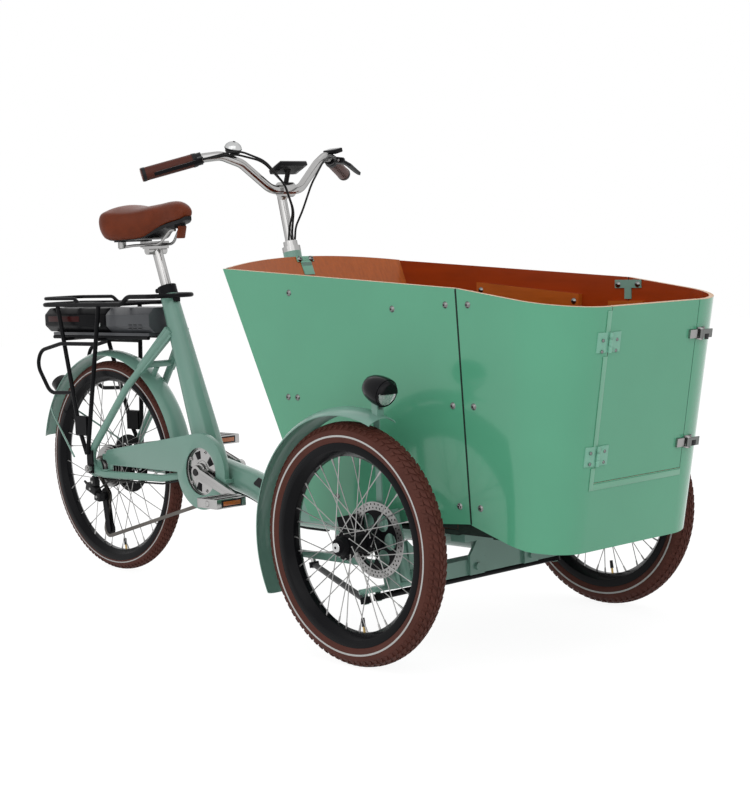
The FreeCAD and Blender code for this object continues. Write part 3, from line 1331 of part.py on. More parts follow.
def chain():
    """Chain: two side bands round the sprockets, with rollers along the open lower run."""
    bands = []
    apart = d.chain_slot / 2 + d.chain_plate / 2
    for y in (-d.chain_y - apart, -d.chain_y + apart):
        outer = [(x, z, r + turn * d.chain_high / 2, turn) for x, z, r, turn in chain_circles]
        inner = [(x, z, r - turn * d.chain_high / 2, turn) for x, z, r, turn in chain_circles]
        start = y - d.chain_plate / 2
        face = Part.Face(belt(outer, start)[0]).cut(Part.Face(belt(inner, start)[0]))
        bands.append(face.extrude(Vector(0, d.chain_plate, 0)))
    start, end = belt(chain_circles, -d.chain_y)[1][3]
    along = end - start
    half = Vector(0, d.chain_slot / 2, 0)
    for index in range(1, int(along.Length / d.chain_pitch)):
        spot = start + along * (index * d.chain_pitch / along.Length)
        if math.hypot(spot.x - crank_axis.x, spot.z - crank_axis.z) < d.ring_r + d.chain_high:
            break
        if math.hypot(spot.x - jockey_lower.x, spot.z - jockey_lower.z) > d.jockey_r + d.chain_high:
            bands.append(rod(spot - half, spot + half, d.chain_high / 2 - 0.6))
    return group(bands)


keep(solid_piece("chain", chain()), "chain")


def derailleur():
    """Derailleur: arm from the dropout, cage plates either side of the chain, two wheels."""
    hang = Vector(-0.35, 0, -0.94).normalize()
    head = rear_axle + hang * (d.dropout_r + 8 + d.fit_gap) - Vector(0, d.dropout_y + d.dropout_t / 2, 0)
    clear = d.chain_slot / 2 + d.chain_plate + 1.5
    outer = Vector(0, -d.chain_y - clear - 2, 0)
    inner = Vector(0, -d.chain_y + clear, 0)
    pivot = jockey_upper + Vector(0, -d.dropout_y - 2, 0)
    arm_bar = joined([rod(head - Vector(0, 4, 0), head + Vector(0, 4, 0), 8), rod(head, pivot, 7),
                      rod(pivot, jockey_upper + outer, 9)])
    pieces = [arm_bar]
    along = (jockey_lower - jockey_upper).normalize()
    side = along.cross(axis_y).normalize() * 10
    for level in (outer, inner):
        top = jockey_upper + level
        foot = jockey_lower + level
        thick = Vector(0, 2, 0)
        pieces.append(joined([plate([top + side, foot + side, foot - side, top - side], thick),
                              rod(top, top + thick, 10), rod(foot, foot + thick, 10)]))
    wheel_half = Vector(0, d.ring_t / 2, 0)
    for spot in (jockey_upper, jockey_lower):
        middle = spot - Vector(0, d.chain_y, 0)
        wheel = rod(middle - wheel_half, middle + wheel_half, d.jockey_r)
        pieces.append(joined([wheel, rod(spot + outer + Vector(0, 2, 0), spot + inner, 4)]))
    return group(pieces)


keep(solid_piece("derailleur", derailleur()), "derailleur")


def chain_guard():
    """Chain guard: a disc round the chainring that runs back to a small end, with a front lip,
    a tab to the main tube and a foot on the right chain stay."""
    tail = on_axle(d.guard_tail_x, 0, d.bottom_bracket_z + 14)
    outline, runs = belt([(crank_axis.x, crank_axis.z, d.guard_r, 1),
                          (tail.x, tail.z, d.guard_tail_r, 1)], -d.guard_y - d.guard_t)
    back = crank_axis - Vector(0, d.guard_y + d.guard_t, 0)
    front = back + Vector(0, d.guard_t, 0)
    sheet_up = Vector(0, d.guard_t, 0)
    under = block(Vector(tail.x - 60, back.y - 1, crank_axis.z - 2 * d.guard_r),
                  Vector(crank_axis.x, front.y + 1, tail.z - d.guard_tail_r))
    arm_sheet = Part.Face(outline).extrude(sheet_up).cut(under)
    disc = joined([arm_sheet, rod(back, front, d.guard_r)]).cut(rod(back, front, d.guard_hole_r))
    lip = ring(back, front + Vector(0, 13, 0), d.guard_r, d.guard_r - 2)
    half = block(crank_axis + Vector(0, -100, -200), crank_axis + Vector(200, 0, 200))
    tab = block(tail + Vector(-34, -d.guard_y - d.guard_t, -8), tail + Vector(-10, -d.guard_y, 8))
    wall_y = -d.guard_y - d.guard_t
    shelf_z = rear_axle.z - 14 + d.stay_r + d.fit_gap
    strut = block(Vector(tail.x - 11, wall_y, shelf_z), Vector(tail.x + 11, -d.guard_y, tail.z))
    shelf = block(Vector(tail.x - 11, -d.stay_y - 5, shelf_z), Vector(tail.x + 11, -d.guard_y, shelf_z + 3))
    shelf = shelf.cut(tube(stay_path(-1), d.stay_r + d.fit_gap, 60.0))
    spine = main_tube_path()
    ahead = (spine[1] - spine[0]).normalize() * (d.guard_r - 1)
    clip = block(crank_axis + ahead + Vector(-7, wall_y, -5), crank_axis + ahead + Vector(7, 0, 5))
    clip = clip.cut(tube(spine, d.main_tube_r + d.fit_gap, d.main_tube_bend))
    clip = min(clip.Solids, key=lambda part: part.CenterOfMass.y)
    return joined([disc, lip.common(half), tab, strut, shelf, clip])


keep(solid_piece("chain_guard", chain_guard()), "chain_guard")

# Fenders and lamps

def polar(centre, radius, degrees, y=0.0):
    """Point round a wheel's axle, by radius and angle up from straight ahead."""
    angle = math.radians(degrees)
    return centre + Vector(radius * math.cos(angle), y, radius * math.sin(angle))


def fender_band(centre, crown, half, drop, start, end):
    """Crowned fender sheet swept round a wheel between two angles."""
    rims = []
    for inset in (0.0, d.fender_t):
        rims.append([polar(centre, crown - drop - inset, start, -half),
                     polar(centre, crown - inset, start), polar(centre, crown - drop - inset, start, half)])
    outer, inner = rims
    section = Part.Wire([Part.Arc(*outer).toShape(), Part.LineSegment(outer[2], inner[2]).toShape(),
                         Part.Arc(inner[2], inner[1], inner[0]).toShape(),
                         Part.LineSegment(inner[0], outer[0]).toShape()])
    return Part.Face(section).revolve(centre, Vector(0, -1, 0), end - start)


def rear_fender():
    """Rear fender with its wire stays and the tab to the stay bridge."""
    band = fender_band(rear_axle, d.rear_fender_r, d.rear_fender_half, d.rear_fender_drop,
                       d.rear_fender_from_deg, d.rear_fender_to_deg)
    pieces = [band]
    edge = d.rear_fender_r - d.rear_fender_drop - d.fender_t / 2
    outside = d.stay_y + d.stay_r + d.rack_r * 2 + 5
    for side in (-1, 1):
        pieces.append(tube([polar(rear_axle, edge, 150, side * (d.rear_fender_half - 2)),
                            polar(rear_axle, edge - 40, 150, side * (d.rear_fender_half + 14)),
                            polar(rear_axle, 62, 150, side * outside)], 2.5, 30.0))
    bridge = Vector(stay_bridge().x, 0, stay_bridge().z)
    out = (bridge - rear_axle).normalize()
    tab_end = bridge - out * (d.bridge_r + d.fit_gap)
    pieces.append(rod(rear_axle + out * (d.rear_fender_r - 2), tab_end, 7))
    return joined(pieces), band


def front_fender():
    """Right front fender with its flat stays to the knuckle and the headlight's bracket."""
    band = fender_band(wheel_right, d.front_fender_r, d.front_fender_half, d.front_fender_drop,
                       d.front_fender_from_deg, d.front_fender_to_deg)
    inner_y = -d.kingpin_y - d.knuckle_reach - d.knuckle_t - d.fit_gap
    outer_y = inner_y - d.stay_bar_t
    edge = d.front_fender_r - d.front_fender_drop
    reach_y = -d.track / 2 + d.front_fender_half - 5
    half = d.stay_bar / 2
    low = axle_z + 22
    high = axle_z + edge
    pieces = [band,
              block(on_axle(-half, outer_y, low), on_axle(half, inner_y, high)),
              block(on_axle(-half, reach_y, high - d.stay_bar_t), on_axle(half, inner_y, high))]
    tail = edge * math.cos(math.radians(195))
    foot = axle_z - 62
    pieces.append(block(on_axle(tail - 2, outer_y, foot), on_axle(0, inner_y, foot + d.stay_bar)))
    pieces.append(block(on_axle(tail - 3, reach_y, foot), on_axle(tail + 2, inner_y, foot + d.stay_bar)))
    return joined(pieces), band


lamp_pivot = on_axle(d.lamp_x, -d.track / 2, d.lamp_z - d.lamp_r - 8)


def lamp_bracket(band):
    """Forked bracket that stands on the right fender and carries the headlight's pin."""
    foot = lamp_pivot - Vector(0, 0, 60)
    stand = block(foot + Vector(-8, -9, 0), lamp_pivot + Vector(8, 9, -9))
    stand = max(stand.cut(band).Solids, key=lambda part: part.CenterOfMass.z)
    pieces = [stand]
    for side in (-1, 1):
        inner = side * (5 + d.free_gap)
        outer = side * 9
        pieces.append(block(lamp_pivot + Vector(-8, min(inner, outer), -10),
                            lamp_pivot + Vector(8, max(inner, outer), 7)))
    pieces.append(rod(lamp_pivot - Vector(0, 8, 0), lamp_pivot + Vector(0, 8, 0), 3))
    return joined(pieces)


def headlight():
    """Headlight: a round body with a wider rim, tilting on a lug below it."""
    axis = lamp_pivot + Vector(0, 0, d.lamp_r + 8)
    back = axis - Vector(d.lamp_len * 0.45, 0, 0)
    front = axis + Vector(d.lamp_len * 0.35, 0, 0)
    face = axis + Vector(d.lamp_len * 0.55, 0, 0)
    lug = block(lamp_pivot + Vector(-6, -5, -6), lamp_pivot + Vector(6, 5, 14))
    shape = joined([rod(back, front, d.lamp_r * 0.6, d.lamp_r), rod(front, face, d.lamp_r + 4), lug])
    return shape.cut(rod(lamp_pivot - Vector(0, 9, 0), lamp_pivot + Vector(0, 9, 0), 3 + d.run_gap))


fender_shape, fender_sheet = rear_fender()
keep(solid_piece("rear_fender", fender_shape), "rear_fender")
lamp_base = polar(rear_axle, d.rear_fender_r - 30, 139)
lamp_end = polar(rear_axle, d.rear_fender_r + d.tail_lamp_t, 139)
tail_lamp = rod(lamp_base, lamp_end, d.tail_lamp_r).cut(fender_sheet)
tail_lamp = max(tail_lamp.Solids, key=lambda part: (part.CenterOfMass - rear_axle).Length)
keep(solid_piece("tail_lamp", tail_lamp), "tail_lamp")
fender_shape, fender_sheet = front_fender()
keep(solid_piece("front_fender_right", joined([fender_shape, lamp_bracket(fender_sheet)])),
     "front_fender_right")
keep(solid_piece("front_fender_left", fender_shape.mirror(Vector(0, 0, 0), axis_y)), "front_fender_left")
keep(solid_piece("headlight", headlight()), "headlight")
for source, label in ((tyre_right, "front_tyre_left"), (rim_right, "front_rim_spokes_left"),
                      (hub_right, "front_hub_left")):
    mirrored(source, label)

# Rack, battery and controller

def rack():
    """Rear rack: deck with raised hoops, legs to the axle, side loops and the battery's shelf."""
    half = d.rack_half
    z = d.rack_z
    tail = d.rack_tail_x
    nose = d.rack_nose_x
    shelf = d.rack_shelf_z
    foot_y = d.stay_y + d.stay_r + d.fit_gap + d.rack_r
    deck = [on_axle(nose - 170, -half, z), on_axle(tail, -half, z), on_axle(tail, half, z),
            on_axle(nose - 170, half, z)]
    hoop = [on_axle(nose - 190, -half, z), on_axle(nose - 155, -half, z), on_axle(nose - 125, -half, z + 20),
            on_axle(nose, -half, z + 20), on_axle(nose, half, z + 20), on_axle(nose - 125, half, z + 20),
            on_axle(nose - 155, half, z), on_axle(nose - 190, half, z)]
    rear_hoop = [on_axle(tail + 190, -half + 4, z + 2), on_axle(tail + 165, -half + 4, z + 17),
                 on_axle(tail + 6, -half + 4, z + 17), on_axle(tail + 6, half - 4, z + 17),
                 on_axle(tail + 165, half - 4, z + 17), on_axle(tail + 190, half - 4, z + 2)]
    pieces = [tube(deck, d.rack_r, 40.0), tube(hoop, d.rack_r, 40.0), tube(rear_hoop, d.rack_r * 0.8, 30.0)]
    for x in (tail + 130, tail + 270, nose - 172):
        pieces.append(rod(on_axle(x, -half, z), on_axle(x, half, z), d.rack_r * 0.8))
    for side in (-1, 1):
        foot = rear_axle + Vector(-8, side * foot_y, 40)
        rear_top = on_axle(tail + 89, side * half, z)
        front_top = on_axle(tail + 285, side * half, z)
        knee = rear_axle + Vector(-42, side * (foot_y - 4), 102)
        pieces.append(tube([rear_top, knee, foot], d.rack_r, 60.0))
        pieces.append(rod(front_top, foot + Vector(4, 0, 0), d.rack_r))
        on_front = front_top + (foot - front_top) * 0.262
        on_rear = rear_top + (knee - rear_top) * 0.70
        out = side * (foot_y - 6)
        pieces.append(tube([on_front, on_axle(tail + 119, out, on_front.z), on_axle(tail + 18, out, z - 126),
                            on_axle(tail - 1, out, z - 168), on_axle(tail + 56, out, on_rear.z - 4), on_rear],
                           d.rack_r * 0.9, 45.0))
        plate_y = sorted((side * (d.stay_y + d.stay_r + d.fit_gap),
                          side * (d.stay_y + d.stay_r + d.fit_gap + d.rack_foot_t)))
        plate_low = rear_axle + Vector(-13, plate_y[0] - rear_axle.y, -13)
        pieces.append(block(plate_low, rear_axle + Vector(13, plate_y[1], 50)))
        clamp = knee + Vector(16, 0, 14)
        pieces.append(block(clamp + Vector(-26, -8, -26), clamp + Vector(26, 8, 26)))
        rail_y = side * 40
        pieces.append(rod(on_axle(tail + 25, rail_y, shelf), on_axle(nose - 78, rail_y, shelf), 5))
    legs = ((on_axle(tail + 285, half, z), rear_axle + Vector(-4, foot_y, 40)),
            (on_axle(tail + 89, half, z), rear_axle + Vector(-42, foot_y - 4, 102)))
    for top, low in legs:
        at = top + (low - top) * ((z - shelf + 4) / (z - low.z))
        pieces.append(rod(at, flipped([at])[0], 4.5))
    lug = block(on_axle(nose - 14, -9, z + 4), on_axle(nose + 2, 9, z + 20))
    pieces.append(lug.cut(rod(seat_foot, seat_top + seat_up * 40, d.seat_foot_r, d.seat_tube_r)))
    hole = rod(rear_axle - Vector(0, 200, 0), rear_axle + Vector(0, 200, 0), d.rear_axle_r + d.fit_gap)
    return joined(pieces).cut(hole)


keep(solid_piece("rear_rack", rack()), "rear_rack")

tray_z = d.rack_shelf_z + 5 + d.fit_gap
case_z = tray_z + d.tray_t + d.free_gap


def case_corners():
    """Section of the battery's and the controller's case, with cut corners."""
    low = "battery_half - battery_corner"
    high = "battery_high - battery_corner"
    return [("-(" + low + ")", "0"), (low, "0"), ("battery_half", "battery_corner"), ("battery_half", high),
            (low, "battery_high"), ("-(" + low + ")", "battery_high"), ("-battery_half", high),
            ("-battery_half", "battery_corner")]


battery = padded("battery_pack", "YZ_Plane", case_corners(), "battery_nose_x - battery_tail_x",
                 Placement(on_axle(d.battery_tail_x, 0, case_z), Rotation()))
keep(battery, "battery_pack")
case = padded("controller_shell", "YZ_Plane", case_corners(), "controller_nose_x - battery_nose_x - 4",
              Placement(on_axle(d.battery_nose_x + 4, 0, case_z), Rotation()))
doc.recompute()
tray = block(on_axle(d.battery_tail_x + 30, -44, tray_z),
             on_axle(d.controller_nose_x - 14, 44, tray_z + d.tray_t))
foot = block(on_axle(d.battery_nose_x + 8, -30, tray_z + 1),
             on_axle(d.controller_nose_x - 14, 30, case_z + 5))
keep(solid_piece("controller_case", joined([case.Shape, tray, foot])), "controller_case")

# Steering column and cockpit

bar_middle = on_axle(d.bar_x, 0, d.bar_z)
grip_end = on_axle(d.grip_end_x, -d.grip_end_y, d.grip_end_z)
bar_half = [grip_end, on_axle(-692, -200, d.bar_z + 79), on_axle(-668, -165, d.bar_z + 83),
            on_axle(-648, -120, d.bar_z + 63), on_axle(d.bar_x, -45, d.bar_z)]
grip_out = (bar_half[0] - bar_half[1]).normalize()


def steering_column():
    """Steering column with its lever below, the head nut, the quill and the bar clamp."""
    spot = arm_spot(d.drag_back, d.drag_side)
    cup_low = -d.head_tube_len - 2 * d.head_cup_t
    local = [rod(Vector(0, 0, lever_low), Vector(0, 0, 1), d.column_r),
             rod(Vector(0, 0, d.free_gap), Vector(0, 0, 13), d.column_r + 3),
             rod(Vector(0, 0, -d.column_len), Vector(0, 0, cup_low - d.free_gap), d.column_r + 4),
             rod(Vector(0, 0, 0), Vector(0, 0, d.quill_len), d.quill_r),
             rod(Vector(0, 0, lever_low), Vector(0, 0, -d.column_len), d.column_r + 6),
             stud(spot, lever_low)] + arm(spot, lever_low, -d.column_len)
    pieces = [turn_about(shape, column) for shape in local]
    half = Vector(0, d.bar_clamp_half, 0)
    pieces.append(rod(column.multVec(Vector(0, 0, d.quill_len - 12)), bar_middle, d.quill_r + 2))
    pieces.append(rod(bar_middle - half, bar_middle + half, d.bar_clamp_r))
    return joined(pieces).cut(rod(bar_middle - half * 2, bar_middle + half * 2, d.bar_r + d.fit_gap))


keep(solid_piece("steering_column", steering_column()), "steering_column")
handlebar = tube(bar_half + flipped(bar_half)[::-1], d.bar_r, d.bar_bend)
keep(solid_piece("handlebar", handlebar), "handlebar")


def two_sided(shapes):
    """Right-hand shapes and their left-hand twins."""
    return shapes + [shape.mirror(Vector(0, 0, 0), axis_y) for shape in shapes]


inner_end = grip_end - grip_out * d.grip_len
sleeve = rod(grip_end + grip_out * 4, inner_end, d.grip_r).cut(
    rod(grip_end + grip_out * d.fit_gap, inner_end - grip_out, d.bar_r + d.fit_gap))
keep(solid_piece("grips", group(two_sided([sleeve]))), "grips")

# Brake levers lie in the plane of the grip and the way ahead of it
ahead = Vector(1, 0, 0)
lever_ahead = (ahead - grip_out * ahead.dot(grip_out)).normalize()
lever_axis = grip_out.cross(lever_ahead).normalize()
perch = inner_end - grip_out * (d.perch_t / 2 + 1)
lever_pivot = perch + lever_ahead * 30


def beside(out, forward, up=0.0):
    """Point beside a brake clamp: out along the grip, ahead of it, and along the lever's axis."""
    return perch + grip_out * out + lever_ahead * forward + lever_axis * up


def slab(outline, low, high):
    """Plate in the brake lever's plane between two levels of its axis."""
    return plate([beside(out, forward, low) for out, forward in outline], lever_axis * (high - low))


def brake_clamp():
    """Brake lever's clamp on the bar, with cheeks and the lever's pin."""
    half = d.perch_t / 2
    cheek = d.lever_t / 2 + d.free_gap
    band = rod(beside(-half, 0), beside(half, 0), d.grip_r - 1)
    pieces = [band]
    for level in (-cheek - 3, cheek):
        pieces.append(slab([(-half, 11), (half, 11), (half, 37), (-half, 37)], level, level + 3))
    pieces.append(rod(beside(0, 30, -cheek - 2), beside(0, 30, cheek + 2), 2.5))
    return joined(pieces).cut(rod(beside(-half - 1, 0), beside(half + 1, 0), d.bar_r + d.fit_gap))


def brake_lever():
    """Brake lever blade on its pin, curving out ahead of the grip."""
    half = d.lever_t / 2
    reach = d.lever_reach
    length = d.lever_len
    blade = slab([(0, 24.5), (length * 0.3, reach - 9), (length * 0.8, reach - 4), (length, reach + 1),
                  (length + 2, reach + 7), (length * 0.8, reach + 5), (length * 0.3, reach + 2), (0, 35.5)],
                 -half, half)
    eye_bar = rod(beside(0, 30, -half), beside(0, 30, half), 5.5)
    hole = rod(beside(0, 30, -half - 1), beside(0, 30, half + 1), 2.5 + d.run_gap)
    return joined([blade, eye_bar]).cut(hole)


lever = solid_piece("brake_lever_right", brake_lever())
keep(lever, "brake_lever_right")
mirrored(lever, "brake_lever_left")


def bar_controls():
    """Brake clamps, the display over the stem and the bell on the right of the bar."""
    top = bar_middle + Vector(0, 0, d.bar_clamp_r + d.fit_gap)
    half = Vector(0, d.bar_clamp_half, 0)
    clamp = rod(bar_middle - half, bar_middle + half, d.bar_clamp_r + d.fit_gap)
    post = rod(top - Vector(0, 0, 8), top + Vector(14, 0, 30), 6).cut(clamp)
    screen = block(Vector(-22, -31, -5), Vector(22, 31, 7))
    screen = turn_about(screen, Placement(top + Vector(14, 0, 32), Rotation(axis_y, -25)))
    seat = (bar_half[2] + bar_half[3]) * 0.5
    bell_foot = seat + Vector(6, 0, d.bar_r + 6)
    stand = rod(seat, bell_foot + Vector(0, 0, 3), 5).cut(handlebar)
    stand = max(stand.Solids, key=lambda part: part.CenterOfMass.z)
    bell = joined([stand, rod(bell_foot, bell_foot + Vector(3, 0, 9), 18),
                   rod(bell_foot + Vector(3, 0, 9), bell_foot + Vector(6, 0, 18), 18, 9)])
    return group(two_sided([brake_clamp()]) + [joined([post, screen]), bell])


keep(solid_piece("bar_controls", bar_controls()), "bar_controls")


def bar_cables():
    """Brake and gear cables from the levers to the head nut, each along its own route."""
    runs = []
    for side, spread, turn in ((-1, 0.0, 20), (-1, 9.0, 52), (1, 0.0, 20)):
        angle = math.radians(turn)
        seat = d.quill_r + d.cable_r + d.free_gap
        nut = column.multVec(Vector(seat * math.cos(angle), -seat * math.sin(angle), 14.4))
        start = beside(-d.perch_t / 2 - d.fit_gap, 20 + 0.7 * spread)
        route = [start, on_axle(-632 + spread, -150, 1086 + spread), on_axle(-598 + spread, -96, 1068),
                 on_axle(-584 + spread, -42 - spread, 1012), on_axle(-588 + spread, -14 - spread, 950),
                 nut + Vector(4, 0, 30), nut]
        runs.append(tube(route if side < 0 else flipped(route), d.cable_r, 70.0))
    return group(runs)


keep(solid_piece("bar_cables", bar_cables()), "bar_cables")


def beneath(points, drop):
    """Path that follows another along its underside, at a constant distance from it."""
    normals = []
    for start, end in zip(points, points[1:]):
        along = (end - start).normalize()
        down = Vector(0, 0, -1) - along * along.dot(Vector(0, 0, -1))
        normals.append(down.normalize())
    shifted = [points[0] + normals[0] * drop]
    for point, before, after in zip(points[1:], normals, normals[1:]):
        shifted.append(point + (before + after) * (drop / (1 + before.dot(after))))
    return shifted + [points[-1] + normals[-1] * drop]


def frame_cables():
    """Cables under the main tube, and the gear cable along the right chain stay to the derailleur."""
    drop = d.main_tube_r + d.cable_r + d.free_gap
    spine = main_tube_path()
    run = spine[1] - spine[0]
    spine = [on_axle(-530, 0, d.main_tube_z)] + spine[2:0:-1] + [spine[0] + run * 0.3]
    runs = []
    for y in (-4.0, 4.0):
        path = [point + Vector(0, y, 0) for point in beneath(spine, drop)]
        runs.append(tube(path, d.cable_r, d.main_tube_bend + drop))
    drop = d.stay_r + d.cable_r + 4 * d.free_gap
    stay = beneath(stay_path(-1)[5:8], drop)
    end = rear_axle + Vector(24, -d.dropout_y - 8, -52)
    runs.append(tube([stay[2] - Vector(14, 0, 0), stay[1], stay[0] + Vector(20, 0, 0), end],
                     d.cable_r, 60.0 - drop))
    return group(runs)


keep(solid_piece("frame_cables", frame_cables()), "frame_cables")

# Saddle

post_top = seat_top + seat_up * d.post_out
head_z = d.rail_z - d.rail_r - d.fit_gap
rail_top = d.rail_z + d.rail_r + d.fit_gap


def seat_post():
    """Seat post with the lower half of the rail clamp."""
    post = rod(seat_top - seat_up * d.post_in, post_top, d.post_r)
    wide = Vector(0, d.rail_y + d.rail_r + 4, 0)
    middle = Vector(post_top.x, 0, head_z - 11)
    saddle_seat = block(Vector(post_top.x - 18, -wide.y, head_z - 7), Vector(post_top.x + 18, wide.y, head_z))
    above = block(Vector(post_top.x - 60, -60, head_z), Vector(post_top.x + 60, 60, head_z + 60))
    return joined([post, rod(middle - wide, middle + wide, 11), saddle_seat]).cut(above)


keep(solid_piece("seat_post", seat_post()), "seat_post")

# Saddle sections from nose to tail: share of the length, half width, dip of the top, lift of the underside
saddle_shape = [(0.0, 0.6, 25, 46), (0.07, 1.0, 8, 38), (0.27, 1.25, 3, 28), (0.5, 2.3, 9, 6),
                (0.74, 3.9, 8, 0), (0.9, 4.25, 4, 2), (1.0, 3.2, 22, 14)]


def saddle_section(share, wide, dip, lift):
    """Crowned section of the saddle with sides that draw in towards the underside."""
    x = d.saddle_nose_x - share * d.saddle_len
    half = d.saddle_half * wide / 4.25
    if wide <= 1.25:
        half = d.saddle_nose_half * wide
    low = d.saddle_low_z + lift
    high = d.saddle_top_z - dip
    tall = high - low
    shoulder = high - 0.26 * tall
    right = [on_axle(x, -0.78 * half, low), on_axle(x, -half, low + 0.45 * tall),
             on_axle(x, -0.93 * half, shoulder)]
    left = flipped(right)
    return Part.Wire([Part.LineSegment(left[0], right[0]).toShape(), Part.Arc(*right).toShape(),
                      Part.Arc(right[2], on_axle(x, 0, high), left[2]).toShape(),
                      Part.Arc(left[2], left[1], left[0]).toShape()])


cover = Part.makeLoft([saddle_section(*row) for row in saddle_shape], True, False)
keep(solid_piece("saddle_cover", cover), "saddle_cover")


nose_pad_z = d.saddle_low_z + 30 - d.saddle_seat_gap - 1.5 * d.saddle_base_t
tail_pad_z = d.saddle_low_z + 1 - d.saddle_seat_gap - 1.5 * d.saddle_base_t


def saddle_base():
    """Moulded base that follows the cover's underside, with flat pads for the rails."""
    sections = []
    for share, wide, dip, lift in saddle_shape:
        half = d.saddle_half * wide / 4.25 if wide > 1.25 else d.saddle_nose_half * wide
        x = d.saddle_nose_x - share * d.saddle_len
        top = d.saddle_low_z + lift - d.saddle_seat_gap
        right = [on_axle(x, -0.72 * half, top - d.saddle_base_t), on_axle(x, -0.72 * half, top)]
        left = flipped(right)
        sections.append(Part.makePolygon([left[0], right[0], right[1], left[1], left[0]]))
    slab = Part.makeLoft(sections, True, False)
    nose = d.saddle_nose_x
    pads = [block(on_axle(nose - 70, -19, nose_pad_z), on_axle(nose - 36, 19, nose_pad_z + d.saddle_base_t)),
            block(on_axle(nose - 258, -52, tail_pad_z),
                  on_axle(nose - 230, 52, tail_pad_z + d.saddle_base_t))]
    return joined([slab] + pads)


keep(solid_piece("saddle_base", saddle_base()), "saddle_base")


def saddle_rails():
    """Two rails from nose to tail, the upper half of their clamp and the rear elastomers."""
    nose_z = nose_pad_z - d.fit_gap - d.rail_r
    nose = d.saddle_nose_x
    rails = []
    for side in (-1, 1):
        rails.append(tube([on_axle(nose - 42, side * 12, nose_z), on_axle(nose - 60, side * 14, nose_z),
                           on_axle(nose - 98, side * d.rail_y, d.rail_z),
                           on_axle(nose - 214, side * d.rail_y, d.rail_z),
                           on_axle(nose - 252, side * 40, d.rail_z - 5)], d.rail_r, 40.0))
        foot = on_axle(nose - 244, side * 36.5, d.rail_z - 6)
        rails[-1] = joined([rails[-1], rod(foot, Vector(foot.x, foot.y, tail_pad_z - d.fit_gap), 11)])
    top = block(Vector(post_top.x - 20, -d.rail_y - 7, rail_top),
                Vector(post_top.x + 20, d.rail_y + 7, rail_top + 5))
    bolt = rod(Vector(post_top.x, 0, head_z + d.fit_gap), Vector(post_top.x, 0, rail_top + 1), 4)
    return group(rails + [joined([top, bolt])])


keep(solid_piece("saddle_rails", saddle_rails()), "saddle_rails")

doc.recompute()
for item in doc.Objects:
    if "Invalid" in item.State or "Error" in item.State:
        raise ValueError("unsound object: " + item.Label)
for node in nodes:
    if node.Shape.isNull() or not node.Shape.isValid():
        raise ValueError("unsound piece: " + node.Label)
os.makedirs("parts", exist_ok=True)
for node in nodes:
    node.Shape.exportStep("parts/%s.step" % node.Label)
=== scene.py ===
"""Cargo tricycle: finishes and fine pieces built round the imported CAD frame."""
import logging
import math
from dataclasses import dataclass
from enum import Enum
from typing import Callable, Optional, Sequence

import bmesh
import bpy
from bmesh.types import BMesh, BMVert
from mathutils import Matrix, Vector


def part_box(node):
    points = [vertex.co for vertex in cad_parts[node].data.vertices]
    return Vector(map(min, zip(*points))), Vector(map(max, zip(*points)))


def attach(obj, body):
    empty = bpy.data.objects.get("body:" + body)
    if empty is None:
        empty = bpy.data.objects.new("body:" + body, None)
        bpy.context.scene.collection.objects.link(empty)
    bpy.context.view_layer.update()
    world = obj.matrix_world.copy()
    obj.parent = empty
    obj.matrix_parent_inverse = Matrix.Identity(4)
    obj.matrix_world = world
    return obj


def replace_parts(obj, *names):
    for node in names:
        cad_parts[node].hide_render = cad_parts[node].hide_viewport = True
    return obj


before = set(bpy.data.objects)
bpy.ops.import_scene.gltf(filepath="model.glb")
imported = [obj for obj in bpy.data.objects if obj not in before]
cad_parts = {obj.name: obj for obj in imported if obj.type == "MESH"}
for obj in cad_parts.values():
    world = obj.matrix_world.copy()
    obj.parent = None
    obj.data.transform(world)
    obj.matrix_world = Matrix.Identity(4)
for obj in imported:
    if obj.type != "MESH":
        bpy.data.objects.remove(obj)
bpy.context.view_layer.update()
LOG = logging.getLogger("cargo_tricycle")

Color = tuple[float, float, float]
Outline = tuple[tuple[float, float], ...]
AXLE = Vector((0.0, 1.0, 0.0))
UP = Vector((0.0, 0.0, 1.0))
FRONT_AXLE_X = 0.60835
HALF_TRACK = 0.4
MERGE = 1e-5
WHITE = (1.0, 1.0, 1.0, 1.0)
COAT_ROUGHNESS = 0.04
SHARP_DEG = 35.0
CORNER_DEG = 40.0
FLAT_DEG = 0.4
BEVEL_STEPS = 2
FACE_ON = 0.6
LEVEL = 0.5


def on_axle(x: float, y: float, z: float) -> Vector:
    """Point given by its distance ahead of the front axle, to the left and up."""
    return Vector((FRONT_AXLE_X + x, y, z))


class Grain(Enum):
    """Kinds of fine surface that a finish may have."""

    PEEL = "sprayed enamel"
    BRUSHED = "drawn metal"
    HIDE = "leather"
    WOOD = "stained plywood"
    EDGE = "cut plywood"
    RUBBER = "vulcanised rubber"
    MOULDED = "moulded plastic"


@dataclass(frozen=True)
class Relief:
    """How a grain is drawn: its octaves, its stretch, its patches of colour and its spread of roughness.

    A grain without octaves is made of pebbles, and one without patches takes its colour from its height.
    """

    detail: float
    stretch: Optional[tuple[float, float, float]] = None
    patches: Optional[float] = None
    patch_detail: float = 3.0
    wear: float = 0.16


RELIEFS = {
    Grain.PEEL: Relief(2.0, patches=5.0, patch_detail=2.0, wear=0.05),
    Grain.BRUSHED: Relief(2.0, stretch=(1.0, 0.06, 1.0), patches=9.0),
    Grain.HIDE: Relief(0.0, patches=26.0, patch_detail=5.0),
    Grain.WOOD: Relief(6.0, stretch=(0.05, 1.0, 0.35)),
    Grain.EDGE: Relief(3.0, stretch=(0.2, 1.0, 1.0)),
    Grain.RUBBER: Relief(4.0, patches=18.0, patch_detail=5.0),
    Grain.MOULDED: Relief(2.0, patches=5.0, patch_detail=2.0),
}


